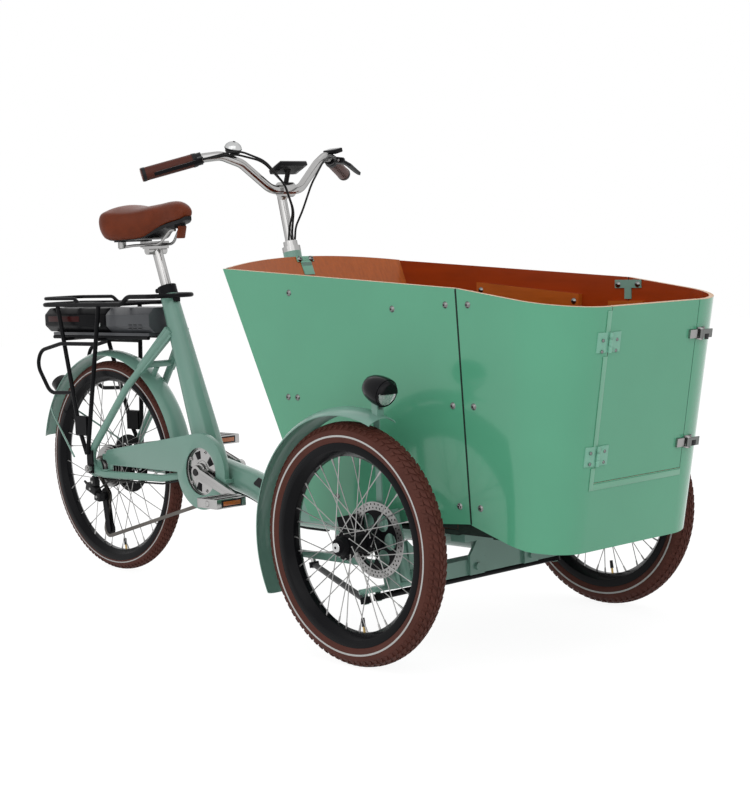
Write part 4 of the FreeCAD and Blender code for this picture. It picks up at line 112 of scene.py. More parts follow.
class ShaderGraph:
    """Node material round one principled shader, read in object coordinates."""

    NOISE_ROUGHNESS = 0.55
    PEBBLE_SOFTNESS = 0.4
    RAMP_ENDS = (0.3, 0.7)
    WEAR_SCALE = 40.0
    WEAR_DETAIL = 4.0

    def __init__(self, name: str) -> None:
        """Start an empty material.

        Args:
            name: name of the finish.
        """
        self.material = bpy.data.materials.new(name)
        self.material.use_nodes = True
        self.tree = self.material.node_tree
        self.shader = self.tree.nodes["Principled BSDF"]
        self.place = self.tree.nodes.new("ShaderNodeTexCoord").outputs["Object"]

    def node(self, kind: str, **values: object) -> bpy.types.Node:
        """Add a node.

        Args:
            kind: Blender's node type.
            values: values of its input sockets.

        Returns:
            The new node.
        """
        made = self.tree.nodes.new(kind)
        for key, value in values.items():
            made.inputs[key].default_value = value
        return made

    def link(self, source: bpy.types.NodeSocket, target: bpy.types.NodeSocket) -> None:
        """Join two sockets."""
        self.tree.links.new(source, target)

    def stretched(self, scale: Sequence[float]) -> bpy.types.NodeSocket:
        """Object coordinates scaled along each axis.

        Args:
            scale: factors along X, Y and Z.

        Returns:
            The scaled coordinates.
        """
        mapping = self.node("ShaderNodeMapping", Scale=scale)
        self.link(self.place, mapping.inputs["Vector"])
        return mapping.outputs["Vector"]

    def noise(self, scale: float, detail: float, stretch: Optional[Sequence[float]] = None
              ) -> bpy.types.NodeSocket:
        """Noise with a number of cells to the metre.

        Args:
            scale: cells to the metre.
            detail: octaves of the noise.
            stretch: factors along each axis, none if left out.

        Returns:
            The noise between 0 and 1.
        """
        made = self.node("ShaderNodeTexNoise", Scale=scale, Detail=detail, Roughness=self.NOISE_ROUGHNESS)
        self.link(self.stretched(stretch) if stretch else self.place, made.inputs["Vector"])
        return made.outputs["Fac"]

    def pebbles(self, scale: float) -> bpy.types.NodeSocket:
        """Rounded cells such as the pebbles of leather.

        Args:
            scale: cells to the metre.

        Returns:
            Distance from each cell's middle.
        """
        made = self.node("ShaderNodeTexVoronoi", Scale=scale)
        made.feature = "SMOOTH_F1"
        made.inputs["Smoothness"].default_value = self.PEBBLE_SOFTNESS
        self.link(self.place, made.inputs["Vector"])
        return made.outputs["Distance"]

    def tinted(self, factor: bpy.types.NodeSocket, low: Color, high: Color) -> None:
        """Colour the shader between two colours.

        Args:
            factor: share of the second colour.
            low: first colour.
            high: second colour.
        """
        ramp = self.tree.nodes.new("ShaderNodeValToRGB")
        for stop, position, color in zip(ramp.color_ramp.elements, self.RAMP_ENDS, (low, high)):
            stop.position = position
            stop.color = (*color, 1.0)
        self.link(factor, ramp.inputs["Fac"])
        self.link(ramp.outputs["Color"], self.shader.inputs["Base Color"])

    def worn(self, low: float, high: float) -> None:
        """Vary the shader's roughness.

        Args:
            low: least roughness.
            high: most roughness.
        """
        spread = self.node("ShaderNodeMapRange", **{"To Min": low, "To Max": high})
        self.link(self.noise(self.WEAR_SCALE, self.WEAR_DETAIL), spread.inputs["Value"])
        self.link(spread.outputs["Result"], self.shader.inputs["Roughness"])

    def raised(self, height: bpy.types.NodeSocket, depth: float) -> None:
        """Give the surface a relief.

        Args:
            height: height between 0 and 1.
            depth: height in metres.
        """
        bump = self.node("ShaderNodeBump", Strength=1.0, Distance=depth)
        self.link(height, bump.inputs["Height"])
        self.link(bump.outputs["Normal"], self.shader.inputs["Normal"])


@dataclass(frozen=True)
class Finish:
    """A surface finish and the material slot that it belongs to."""

    name: str
    slot: str
    color: Color
    roughness: float
    grain: Grain
    pitch: float = 0.002
    depth: float = 0.00002
    metallic: float = 0.0
    coat: float = 0.0
    mottle: float = 0.06
    transmission: float = 0.0
    specular: float = 0.5
    edge: float = 1.0

    def material(self) -> bpy.types.Material:
        """Material of this finish, made once."""
        return bpy.data.materials.get(self.name) or self._made()

    def _made(self) -> bpy.types.Material:
        """Build the node material.

        Returns:
            The new material.
        """
        graph = ShaderGraph(self.name)
        sockets = graph.shader.inputs
        sockets["Metallic"].default_value = self.metallic
        sockets["Coat Weight"].default_value = self.coat
        sockets["Coat Roughness"].default_value = COAT_ROUGHNESS
        sockets["Specular IOR Level"].default_value = self.specular
        sockets["Specular Tint"].default_value = (self.edge, self.edge, self.edge, 1.0)
        sockets["Transmission Weight"].default_value = self.transmission
        relief = RELIEFS[self.grain]
        fine = 1.0 / self.pitch
        height = graph.noise(fine, relief.detail, relief.stretch) if relief.detail else graph.pebbles(fine)
        patches = graph.noise(relief.patches, relief.patch_detail) if relief.patches else height
        dark = tuple(part * (1.0 - self.mottle) for part in self.color)
        pale = tuple(min(1.0, part * (1.0 + self.mottle)) for part in self.color)
        graph.tinted(patches, dark, pale)
        graph.worn(self.roughness * (1.0 - relief.wear), self.roughness * (1.0 + relief.wear))
        graph.raised(height, self.depth)
        return graph.material


class Finishes:
    """Every finish on the tricycle."""

    ENAMEL = Finish("mint_enamel", "paint", (0.150, 0.285, 0.232), 0.26, Grain.PEEL, 0.004, 0.000005,
                    coat=0.2, specular=0.35)
    LACQUER = Finish("mint_lacquer", "ply_mint", (0.084, 0.325, 0.195), 0.16, Grain.PEEL, 0.09, 0.00012,
                     coat=0.25, mottle=0.03, specular=0.35)
    TRIM = Finish("pale_trim", "ply_mint", (0.165, 0.385, 0.265), 0.3, Grain.PEEL, 0.002, 0.00001,
                  specular=0.35)
    STAIN = Finish("orange_stain", "ply_orange", (0.275, 0.034, 0.003), 0.24, Grain.WOOD, 0.006, 0.00003,
                   coat=0.05, mottle=0.10, specular=0.14)
    # Painted light: the orange stain painted lighter where light falls, on the battens and the rear panel's
    # inner face.
    LIT_STAIN = Finish("lit_orange_stain", "ply_orange", (0.380, 0.085, 0.009), 0.22, Grain.WOOD, 0.006, 0.00003,
                  coat=0.2, mottle=0.12, specular=0.3)
    # Painted shade: near-black green for the shade in the seams, the door gaps and under the box.
    PAINTED_SHADE = Finish("painted_seam_shade", "ply_mint", (0.012, 0.022, 0.017), 0.5, Grain.EDGE, 0.002, 0.00003,
                  mottle=0.3, specular=0.1)
    HINGE = Finish("pale_enamel", "paint", (0.155, 0.385, 0.275), 0.24, Grain.PEEL, 0.004, 0.000005,
                   coat=0.3, specular=0.4)
    CUT_PLY = Finish("cut_ply", "ply_orange", (0.58, 0.38, 0.25), 0.55, Grain.EDGE, 0.0022, 0.00004,
                     mottle=0.3, specular=0.2)
    POWDER = Finish("black_powder_coat", "black_metal", (0.006, 0.006, 0.007), 0.42, Grain.PEEL, 0.0012,
                    0.000006, specular=0.07, mottle=0.2)
    RIM_BLACK = Finish("black_rim", "black_alloy", (0.005, 0.005, 0.006), 0.22, Grain.PEEL, 0.003, 0.000006,
                       specular=0.08, mottle=0.2)
    ALLOY = Finish("polished_alloy", "alloy", (0.43, 0.425, 0.42), 0.17, Grain.BRUSHED, 0.0012, 0.000006,
                   metallic=1.0, edge=0.35)
    STEEL = Finish("drawn_steel", "steel", (0.36, 0.355, 0.35), 0.30, Grain.BRUSHED, 0.0009, 0.00001,
                   metallic=1.0, edge=0.4)
    CHAIN = Finish("oiled_chain", "steel", (0.13, 0.12, 0.11), 0.38, Grain.PEEL, 0.002, 0.00002,
                   metallic=1.0, mottle=0.2, edge=0.5)
    CHROME = Finish("bright_chrome", "chrome", (0.55, 0.555, 0.555), 0.09, Grain.PEEL, 0.004, 0.000004,
                    metallic=1.0, edge=0.3)
    DULL_CHROME = Finish("dull_chrome", "chrome", (0.19, 0.195, 0.19), 0.12, Grain.PEEL, 0.004, 0.000004,
                         metallic=1.0, edge=0.5)
    TYRE = Finish("brown_tyre", "tyre_brown", (0.074, 0.023, 0.016), 0.62, Grain.RUBBER, 0.0014, 0.00006,
                  mottle=0.12, specular=0.16)
    STRIPE = Finish("reflective_stripe", "tyre_brown", (0.44, 0.44, 0.43), 0.35, Grain.MOULDED, 0.0006,
                    0.00002, specular=0.3)
    LEATHER = Finish("brown_leather", "leather_brown", (0.130, 0.024, 0.007), 0.42, Grain.HIDE, 0.0022,
                     0.00007, mottle=0.16, specular=0.16)
    GRIP = Finish("grip_leather", "leather_brown", (0.070, 0.016, 0.009), 0.46, Grain.HIDE, 0.0018, 0.00006,
                  mottle=0.18, specular=0.2)
    THREAD = Finish("waxed_thread", "leather_brown", (0.030, 0.014, 0.010), 0.6, Grain.RUBBER, 0.0005,
                    0.00002, specular=0.2)
    PLASTIC = Finish("black_plastic", "plastic_black", (0.008, 0.008, 0.009), 0.44, Grain.MOULDED, 0.0007,
                     0.00003, specular=0.2)
    GREY = Finish("grey_case", "plastic_black", (0.058, 0.061, 0.067), 0.36, Grain.MOULDED, 0.0006, 0.00002,
                  specular=0.3)
    BATTERY = Finish("battery_case", "plastic_black", (0.005, 0.005, 0.006), 0.34, Grain.MOULDED, 0.0007,
                     0.00003, specular=0.05)
    GLOSS = Finish("black_gloss", "lamp_black", (0.005, 0.005, 0.006), 0.14, Grain.MOULDED, 0.004, 0.00001,
                   coat=0.03, specular=0.10)
    CABLE = Finish("cable_sheath", "cable", (0.006, 0.006, 0.006), 0.44, Grain.RUBBER, 0.001, 0.00002,
                   specular=0.2)
    RED = Finish("red_lens", "lamp_red", (0.30, 0.012, 0.010), 0.16, Grain.MOULDED, 0.003, 0.00006, coat=0.5)
    DARK_RED = Finish("dark_red_band", "plastic_black", (0.035, 0.004, 0.004), 0.3, Grain.MOULDED, 0.001,
                      0.00001, specular=0.1)
    AMBER = Finish("amber_reflector", "alloy", (0.42, 0.10, 0.012), 0.22, Grain.MOULDED, 0.0026, 0.0002,
                   coat=0.6)
    GLASS = Finish("lamp_glass", "lamp_black", (0.95, 0.96, 0.97), 0.05, Grain.MOULDED, 0.004, 0.00004,
                   transmission=0.9)
    BRASS = Finish("valve_brass", "chrome", (0.55, 0.38, 0.14), 0.3, Grain.BRUSHED, 0.001, 0.00001,
                   metallic=1.0)


def linked(name: str, data: bpy.types.ID) -> bpy.types.Object:
    """New object of the scene.

    Args:
        name: name of the object.
        data: its mesh, lamp or camera.

    Returns:
        The new object.
    """
    made = bpy.data.objects.new(name, data)
    bpy.context.scene.collection.objects.link(made)
    return made


def stored(name: str, mesh: BMesh) -> bpy.types.Mesh:
    """Turn a bmesh into mesh data.

    Args:
        name: name of the data.
        mesh: the bmesh, which is freed.

    Returns:
        The mesh data.
    """
    data = bpy.data.meshes.new(name)
    mesh.to_mesh(data)
    mesh.free()
    return data


def piece(name: str, mesh: BMesh, finishes: Sequence[Finish], body: str, sharp_deg: float = SHARP_DEG
          ) -> bpy.types.Object:
    """Turn a bmesh into a finished piece that rides on a body.

    Args:
        name: name of the piece.
        mesh: its geometry, which is freed.
        finishes: finishes in the order of the faces' material numbers.
        body: CAD body that carries it.
        sharp_deg: edges sharper than this stay sharp.

    Returns:
        The new object.
    """
    data = stored(name, mesh)
    for finish in finishes:
        data.materials.append(finish.material())
    data.shade_smooth()
    data.set_sharp_from_angle(angle=math.radians(sharp_deg))
    made = linked(name, data)
    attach(made, body)
    LOG.info("%s: %d faces on %s", name, len(data.polygons), body)
    return made


def dress(node: str, finish: Finish) -> None:
    """Give a CAD node that stays in view its finish.

    Args:
        node: name of the node.
        finish: its finish.
    """
    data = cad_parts[node].data
    data.materials.clear()
    data.materials.append(finish.material())


def copied(node: str) -> BMesh:
    """Copy of a CAD node's mesh with its loose triangles merged.

    Args:
        node: name of the node.

    Returns:
        The merged mesh.
    """
    mesh = bmesh.new()
    mesh.from_mesh(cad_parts[node].data)
    bmesh.ops.remove_doubles(mesh, verts=mesh.verts, dist=MERGE)
    mesh.normal_update()
    return mesh


def islands(mesh: BMesh) -> list[list[BMVert]]:
    """Connected groups of a mesh's vertices.

    Args:
        mesh: mesh with merged vertices.

    Returns:
        One list of vertices for each loose part.
    """
    left = set(mesh.verts)
    groups = []
    while left:
        seed = left.pop()
        group, front = [seed], [seed]
        while front:
            for edge in front.pop().link_edges:
                for other in edge.verts:
                    if other in left:
                        left.discard(other)
                        group.append(other)
                        front.append(other)
        groups.append(group)
    return groups


def middle(verts: Sequence[BMVert]) -> Vector:
    """Middle of the box round some vertices.

    Args:
        verts: the vertices.

    Returns:
        The middle point.
    """
    low = Vector([min(v.co[axis] for v in verts) for axis in range(3)])
    high = Vector([max(v.co[axis] for v in verts) for axis in range(3)])
    return (low + high) / 2


def moved(mesh: BMesh, place: Matrix, verts: Optional[Sequence[BMVert]] = None) -> None:
    """Move some vertices of a mesh, or all of them, into a frame."""
    bmesh.ops.transform(mesh, matrix=place, verts=mesh.verts if verts is None else verts)


def spun(mesh: BMesh, outline: Sequence[tuple[float, float]], steps: int, closed: bool = True
         ) -> list[BMVert]:
    """Turn an outline of radius and height round the Y axis.

    Args:
        mesh: mesh that receives the ring.
        outline: pairs of radius and place along the axle.
        steps: facets round the ring.
        closed: whether the outline runs back to its start.

    Returns:
        The new vertices.
    """
    before = set(mesh.verts)
    verts = [mesh.verts.new((radius, along, 0.0)) for radius, along in outline]
    pairs = list(zip(verts, verts[1:]))
    if closed:
        pairs.append((verts[-1], verts[0]))
    edges = [mesh.edges.new(pair) for pair in pairs]
    bmesh.ops.spin(mesh, geom=verts + edges, cent=(0, 0, 0), axis=AXLE, dvec=(0, 0, 0),
                   angle=2 * math.pi, steps=steps, use_merge=True, use_duplicate=False)
    made = [v for v in mesh.verts if v not in before]
    bmesh.ops.remove_doubles(mesh, verts=made, dist=MERGE)
    made = [v for v in mesh.verts if v not in before]
    faces = list({face for v in made for face in v.link_faces})
    bmesh.ops.recalc_face_normals(mesh, faces=faces)
    return made


def bevelled(mesh: BMesh, edges: Sequence[bmesh.types.BMEdge], width: float) -> list[BMVert]:
    """Round some edges of a mesh.

    Args:
        mesh: mesh to bevel.
        edges: edges to round.
        width: width of the bevel in metres.

    Returns:
        The vertices of the rounded edges.
    """
    made = bmesh.ops.bevel(mesh, geom=edges, offset=width, offset_type="OFFSET", affect="EDGES",
                           segments=BEVEL_STEPS, profile=0.5, material=-1, clamp_overlap=True)
    return list({v for face in made["faces"] for v in face.verts})


def round_edges(mesh: BMesh, angle_deg: float, width: float) -> None:
    """Bevel every edge whose two faces turn by more than an angle.

    Args:
        mesh: mesh to bevel.
        angle_deg: the angle in degrees.
        width: width of the bevel in metres.
    """
    limit = math.radians(angle_deg)
    edges = [edge for edge in mesh.edges if len(edge.link_faces) == 2 and edge.calc_face_angle() > limit]
    bevelled(mesh, edges, width)


def sliced(mesh: BMesh, spot: Sequence[float], facing: Sequence[float], trim: bool = False) -> None:
    """Cut a mesh along a plane.

    Args:
        mesh: mesh to cut.
        spot: point of the plane.
        facing: way that the plane faces.
        trim: whether the side that the plane faces goes, and the cut is closed.
    """
    bmesh.ops.bisect_plane(mesh, geom=mesh.verts[:] + mesh.edges[:] + mesh.faces[:], plane_co=spot,
                           plane_no=facing, clear_outer=trim)
    if trim:
        bmesh.ops.holes_fill(mesh, edges=[edge for edge in mesh.edges if edge.is_boundary])


def paint_faces(verts: Sequence[BMVert], number: int) -> None:
    """Give the faces of some vertices a material number.

    Args:
        verts: the vertices.
        number: the material number.
    """
    for v in verts:
        for face in v.link_faces:
            face.material_index = number


def bar(mesh: BMesh, start: Vector, end: Vector, radius: float, tip: float, sides: int) -> list[BMVert]:
    """Round bar between two points.

    Args:
        mesh: mesh that receives the bar.
        start: one end.
        end: other end.
        radius: radius at the start.
        tip: radius at the end.
        sides: facets round it.

    Returns:
        The new vertices.
    """
    along = end - start
    turn = along.to_track_quat("Z", "Y").to_matrix().to_4x4()
    place = Matrix.Translation((start + end) / 2) @ turn
    made = bmesh.ops.create_cone(mesh, cap_ends=True, cap_tris=False, segments=sides, radius1=radius,
                                 radius2=tip, depth=along.length, matrix=place)
    return made["verts"]


@dataclass(frozen=True)
class Turned:
    """Round piece along a line: where it starts and ends, its two radii and its facets."""

    start: float
    end: float
    radius: float
    tip: float
    sides: int = 12

    def on(self, mesh: BMesh, foot: Vector, along: Vector) -> list[BMVert]:
        """Add the piece to a mesh.

        Args:
            mesh: mesh that receives it.
            foot: point from which it is measured.
            along: way of the line, of unit length.

        Returns:
            The new vertices.
        """
        start, end = foot + along * self.start, foot + along * self.end
        return bar(mesh, start, end, self.radius, self.tip, self.sides)


@dataclass(frozen=True)
class Block:
    """Block with eased edges: its sides, the width of its eased edges and its middle."""

    size: tuple[float, float, float]
    ease: float = 0.0
    spot: tuple[float, float, float] = (0.0, 0.0, 0.0)

    def on(self, mesh: BMesh, place: Matrix) -> list[BMVert]:
        """Add the block to a mesh.

        Args:
            mesh: mesh that receives it.
            place: frame in which it stands.

        Returns:
            The new vertices.
        """
        stretch = Matrix.Translation(self.spot) @ Matrix.Diagonal((*self.size, 1.0))
        made = bmesh.ops.create_cube(mesh, size=1.0, matrix=place @ stretch)["verts"]
        if self.ease:
            made = bevelled(mesh, list({edge for v in made for edge in v.link_edges}), self.ease)
        return made

    def at(self, mesh: BMesh, spot: Sequence[float]) -> list[BMVert]:
        """Add the block to a mesh, square to the axes, with its middle at a point."""
        return self.on(mesh, Matrix.Translation(spot))


def eased(node: str, body: str, finish: Finish, width: float) -> None:
    """Copy of a CAD node with rounded edges.

    Args:
        node: CAD node that the copy stands for.
        body: body that carries it.
        finish: its finish.
        width: width of the rounding.
    """
    mesh = copied(node)
    bmesh.ops.dissolve_limit(mesh, angle_limit=math.radians(FLAT_DEG), verts=mesh.verts, edges=mesh.edges)
    round_edges(mesh, CORNER_DEG, width)
    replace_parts(piece(node + "_eased", mesh, [finish], body), node)


def recoloured(node: str, body: str, finishes: Sequence[Finish], choose: Callable[[Vector, int], int]
               ) -> None:
    """Copy of a CAD node whose loose parts take different finishes.

    Args:
        node: CAD node that the copy stands for.
        body: body that carries it.
        finishes: finishes that a part may take.
        choose: number of the finish, from a part's middle and its rank by vertices (0 has the most).
    """
    mesh = copied(node)
    groups = sorted(islands(mesh), key=len, reverse=True)
    for rank, group in enumerate(groups):
        paint_faces(group, choose(middle(group), rank))
    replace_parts(piece(node + "_finished", mesh, finishes, body), node)


@dataclass(frozen=True)
class Softbox:
    """Large square lamp: where it hangs, where it points, its watts and its side."""

    name: str
    spot: tuple[float, float, float]
    aim: tuple[float, float, float]
    power: float
    size: float = 5.0

    def hang(self) -> None:
        """Put the lamp in the scene."""
        data = bpy.data.lights.new(self.name, "AREA")
        data.size = self.size
        data.energy = self.power
        lamp = linked(self.name, data)
        lamp.location = self.spot
        lamp.rotation_euler = (Vector(self.aim) - Vector(self.spot)).to_track_quat("-Z", "Y").to_euler()


@dataclass
class Studio:
    """Pale floor, soft light and the photograph's camera."""

    spot: Vector = Vector((3.32561, -2.89085, 0.86087))
    yaw: float = 2.385165
    pitch: float = -0.085076
    roll: float = -0.039592
    focal_px: float = 1818.95
    picture: tuple[int, int] = (750, 800)
    sensor: float = 36.0
    surround: float = 0.76
    floor_r: float = 14.0
    floor_facets: int = 96
    floor_color: tuple[float, float, float, float] = (0.86, 0.86, 0.86, 1.0)
    floor_roughness: float = 0.9
    floor_specular: float = 0.1
    floor_glow: float = 1.12
    floor_share: float = 0.82
    lamps: tuple[Softbox, ...] = (Softbox("key_light", (3.6, -2.2, 3.4), (0.2, 0.0, 0.5), 56.0),
                                  Softbox("fill_light", (1.4, -5.2, 2.7), (0.0, 0.0, 0.5), 50.0),
                                  Softbox("back_light", (-3.2, 2.8, 3.4), (0.0, 0.0, 0.5), 36.0))

    def build(self) -> None:
        """Set up everything that isn't part of the object."""
        scene = bpy.context.scene
        scene.view_settings.view_transform = "Standard"
        self._camera(scene)
        self._world(scene)
        self._floor()
        for lamp in self.lamps:
            lamp.hang()

    def _camera(self, scene: bpy.types.Scene) -> None:
        """Place the camera where the photograph was taken.

        Args:
            scene: scene that looks through it.
        """
        level = math.cos(self.pitch)
        ahead = Vector((level * math.cos(self.yaw), level * math.sin(self.yaw), math.sin(self.pitch)))
        right = Vector((math.sin(self.yaw), -math.cos(self.yaw), 0.0))
        side = right * math.cos(self.roll) + right.cross(ahead) * math.sin(self.roll)
        turn = Matrix((side, side.cross(ahead), -ahead)).transposed().to_4x4()
        data = bpy.data.cameras.new("photo_camera")
        data.sensor_width = self.sensor
        data.lens = self.focal_px / max(self.picture) * self.sensor
        scene.camera = linked("photo_camera", data)
        scene.camera.matrix_world = Matrix.Translation(self.spot) @ turn

    @staticmethod
    def _seen(tree: bpy.types.NodeTree) -> bpy.types.NodeSocket:
        """Test for rays that show the background: to the camera, in gloss and through glass.

        Args:
            tree: node tree that uses the test.

        Returns:
            1 for such rays and 0 for the rest.
        """
        path = tree.nodes.new("ShaderNodeLightPath")
        total = path.outputs["Is Camera Ray"]
        for kind in ("Is Glossy Ray", "Is Transmission Ray"):
            most = tree.nodes.new("ShaderNodeMath")
            most.operation = "MAXIMUM"
            tree.links.new(total, most.inputs[0])
            tree.links.new(path.outputs[kind], most.inputs[1])
            total = most.outputs[0]
        return total

    @staticmethod
    def _mixed(tree: bpy.types.NodeTree, share: bpy.types.NodeSocket, shaders: Sequence[bpy.types.Node],
               output: str) -> None:
        """Mix two shaders into an output.

        Args:
            tree: node tree that holds them.
            share: share of the second shader.
            shaders: the two shaders.
            output: name of the output node.
        """
        mix = tree.nodes.new("ShaderNodeMixShader")
        tree.links.new(share, mix.inputs["Fac"])
        for number, shader in enumerate(shaders, 1):
            tree.links.new(shader.outputs[0], mix.inputs[number])
        tree.links.new(mix.outputs[0], tree.nodes[output].inputs["Surface"])

    def _world(self, scene: bpy.types.Scene) -> None:
        """White surroundings for rays that show them, soft light for the rest.

        Args:
            scene: scene that they surround.
        """
        world = bpy.data.worlds.new("studio")
        scene.world = world
        world.use_nodes = True
        tree = world.node_tree
        light = tree.nodes["Background"]
        light.inputs["Color"].default_value = WHITE
        light.inputs["Strength"].default_value = self.surround
        white = tree.nodes.new("ShaderNodeBackground")
        white.inputs["Color"].default_value = WHITE
        self._mixed(tree, self._seen(tree), (light, white), "World Output")

    def _floor(self) -> None:
        """Pale floor that goes to white and keeps the object's shadow."""
        mesh = bmesh.new()
        bmesh.ops.create_circle(mesh, cap_ends=True, segments=self.floor_facets, radius=self.floor_r)
        floor = linked("floor", stored("floor", mesh))
        material = bpy.data.materials.new("pale_floor")
        material.use_nodes = True
        tree = material.node_tree
        shader = tree.nodes["Principled BSDF"]
        shader.inputs["Base Color"].default_value = self.floor_color
        shader.inputs["Roughness"].default_value = self.floor_roughness
        shader.inputs["Specular IOR Level"].default_value = self.floor_specular
        glow = tree.nodes.new("ShaderNodeEmission")
        glow.inputs["Strength"].default_value = self.floor_glow
        share = tree.nodes.new("ShaderNodeMath")
        share.operation = "MULTIPLY"
        share.inputs[1].default_value = self.floor_share
        tree.links.new(self._seen(tree), share.inputs[0])
        self._mixed(tree, share.outputs[0], (shader, glow), "Material Output")
        floor.data.materials.append(material)


@dataclass
class Wheel:
    """A spoked wheel: tyre with tread, rim, laced spokes, valve and brake disc."""

    name: str
    body: str
    centre: Vector
    tyre_node: str
    rim_node: str
    tyre_r: float
    section_r: float
    bead_r: float
    rim_half: float
    flange_r: float
    flange_half: float
    lugs: int
    tread_deg: float
    mirror: float = 1.0
    has_rotor: bool = True
    tyre_facets: int = 160
    ring_facets: int = 128
    casing_steps: int = 32
    casing_sharp_deg: float = 28.0
    groove: float = 0.0022
    tread_fade: float = 0.16
    # Rows of tread blocks: place and width in half treads, length in pitches, and slant.
    tread_rows: tuple[tuple[float, float, float, float], ...] = (
        (0.13, 0.20, 0.74, 0.8), (0.47, 0.34, 0.60, 1.0), (0.86, 0.26, 0.42, 0.5))
    # A block's height and depth in grooves, its swell across, its top's taper and its shifts in pitches.
    block_rise: float = 1.7
    block_sink: float = 0.85
    block_swell: float = 1.15
    block_top: tuple[float, float] = (0.86, 0.90)
    side_shift: float = 0.25
    row_shift: float = 0.5
    # Outer and inner face of the sidewall stripe: lift from the casing, and angles in degrees.
    stripe_faces: tuple[tuple[float, tuple[int, ...]], ...] = (
        (0.0003, (88, 90, 92, 94, 96)), (-0.0004, (96, 92, 88)))
    rim_depth: float = 0.021
    rim_wall: float = 0.008
    rim_foot: float = 0.007
    rim_ease: float = 0.0008
    rim_corner_deg: float = 24.0
    flange_lift: float = 0.0085
    flange_lap: float = 0.0006
    bead_step: float = 0.0018
    spoke_count: int = 36
    spoke_r: float = 0.0011
    spoke_sides: int = 8
    spoke_sink: float = 0.0004
    spoke_inset: float = 3.0
    cross_deg: float = 62.0
    flange_seat: float = 0.003
    flange_gap: float = 0.0002
    nipple: Turned = Turned(-0.013, 0.001, 0.0017, 0.0024, 8)
    head_r: float = 0.0021
    head_facets: tuple[int, int] = (8, 6)
    rotor_y: float = 0.0609
    rotor_r: float = 0.0803
    rotor_wide: float = 0.0175
    rotor_t: float = 0.0021
    rotor_facets: int = 96
    hole_rows: tuple[float, float] = (0.0050, 0.0125)
    holes: int = 42
    hole_r: float = 0.0020
    hole_sides: int = 8
    hole_proud: float = 0.00006
    axle_end: Turned = Turned(0.0515, 0.0537, 0.0108, 0.0096, 28)
    # Dark disc in the axle end's socket: painted shade for the recess.
    axle_socket_shade: Turned = Turned(0.0535, 0.0539, 0.0032, 0.0032, 6)
    drum: Turned = Turned(0.0330, 0.0455, 0.0205, 0.0185, 40)
    valve_deg: float = -84.0
    valve_stem: Turned = Turned(0.001, -0.018, 0.0026, 0.0026)
    valve_cap: Turned = Turned(-0.012, -0.030, 0.0042, 0.0036)

    def build(self) -> None:
        """Make every piece of the wheel and let it stand for the CAD nodes."""
        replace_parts(self.tyre(), self.tyre_node)
        self.stripe()
        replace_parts(self.rim(), self.rim_node)
        self.spokes()
        self.valve()
        if self.has_rotor:
            self.rotor()
            self.axle_cap()

    def _finished(self, label: str, mesh: BMesh, finishes: Sequence[Finish], sharp_deg: float = SHARP_DEG
                  ) -> bpy.types.Object:
        """Move a mesh to the wheel's place, keep it above the ground and make it a piece.

        Args:
            label: end of the piece's name.
            mesh: its geometry, round the wheel's centre.
            finishes: finishes in the order of the faces' material numbers.
            sharp_deg: edges sharper than this stay sharp.

        Returns:
            The new piece.
        """
        bmesh.ops.translate(mesh, verts=mesh.verts, vec=self.centre)
        for v in mesh.verts:
            v.co.z = max(v.co.z, 0.0)
        return piece(self.name + "_" + label, mesh, finishes, self.body, sharp_deg)

    def tyre(self) -> bpy.types.Object:
        """Tyre casing with its tread blocks.

        Returns:
            The new piece.
        """
        mesh = bmesh.new()
        ring = self.tyre_r - self.section_r
        end = math.acos((self.bead_r - ring) / self.section_r)
        tread = math.radians(self.tread_deg)
        outline = []
        for step in range(self.casing_steps + 1):
            turn = -end + 2 * end * step / self.casing_steps
            fade = min(1.0, max(0.0, (tread - abs(turn)) / self.tread_fade))
            reach = self.section_r - self.groove * fade
            outline.append((ring + reach * math.cos(turn), reach * math.sin(turn)))
        spun(mesh, outline, self.tyre_facets)
        self._tread(mesh, ring, tread)
        return self._finished("tyre", mesh, [Finishes.TYRE], self.casing_sharp_deg)

    def _tread(self, mesh: BMesh, ring: float, tread: float) -> None:
        """Slanted tread blocks in rows across the crown, repeated round the tyre.

        Args:
            mesh: the tyre's mesh.
            ring: radius of the middle of the tyre's section.
            tread: half angle of the tread.
        """
        pitch = 2 * math.pi * self.tyre_r / self.lugs
        reach = self.section_r - self.groove * self.block_sink
        narrow, short = self.block_top
        made = []
        for side in (-1, 1):
            for share, width, length, slant in self.tread_rows:
                angle = side * share * tread
                wide = width * tread * self.section_r * self.block_swell
                block = Block((self.groove * self.block_rise, wide, length * pitch)).at(mesh, (0.0, 0.0, 0.0))
                for v in block:
                    v.co.z += slant * v.co.y * side
                    if v.co.x > 0:
                        v.co.y *= narrow
                        v.co.z *= short
                shift = pitch * (self.side_shift * side + self.row_shift * share)
                place = Matrix.Translation((ring + reach * math.cos(angle), reach * math.sin(angle), shift))
                moved(mesh, place @ Matrix.Rotation(angle, 4, "Z"), block)
                made += block
        edges = list({edge for v in made for edge in v.link_edges})
        faces = list({face for v in made for face in v.link_faces})
        turn = 2 * math.pi * (self.lugs - 1) / self.lugs
        bmesh.ops.spin(mesh, geom=made + edges + faces, cent=(0, 0, 0), axis=AXLE, dvec=(0, 0, 0), angle=turn,
                       steps=self.lugs - 1, use_merge=False, use_duplicate=True)

    def stripe(self) -> None:
        """Pale reflective line on both sidewalls."""
        mesh = bmesh.new()
        ring = self.tyre_r - self.section_r
        for side in (-1, 1):
            outline = []
            for lift, turns in self.stripe_faces:
                for degrees in turns:
                    turn = math.radians(degrees)
                    reach = self.section_r + lift
                    outline.append((ring + reach * math.cos(turn), side * reach * math.sin(turn)))
            spun(mesh, outline, self.ring_facets)
        self._finished("stripe", mesh, [Finishes.STRIPE])

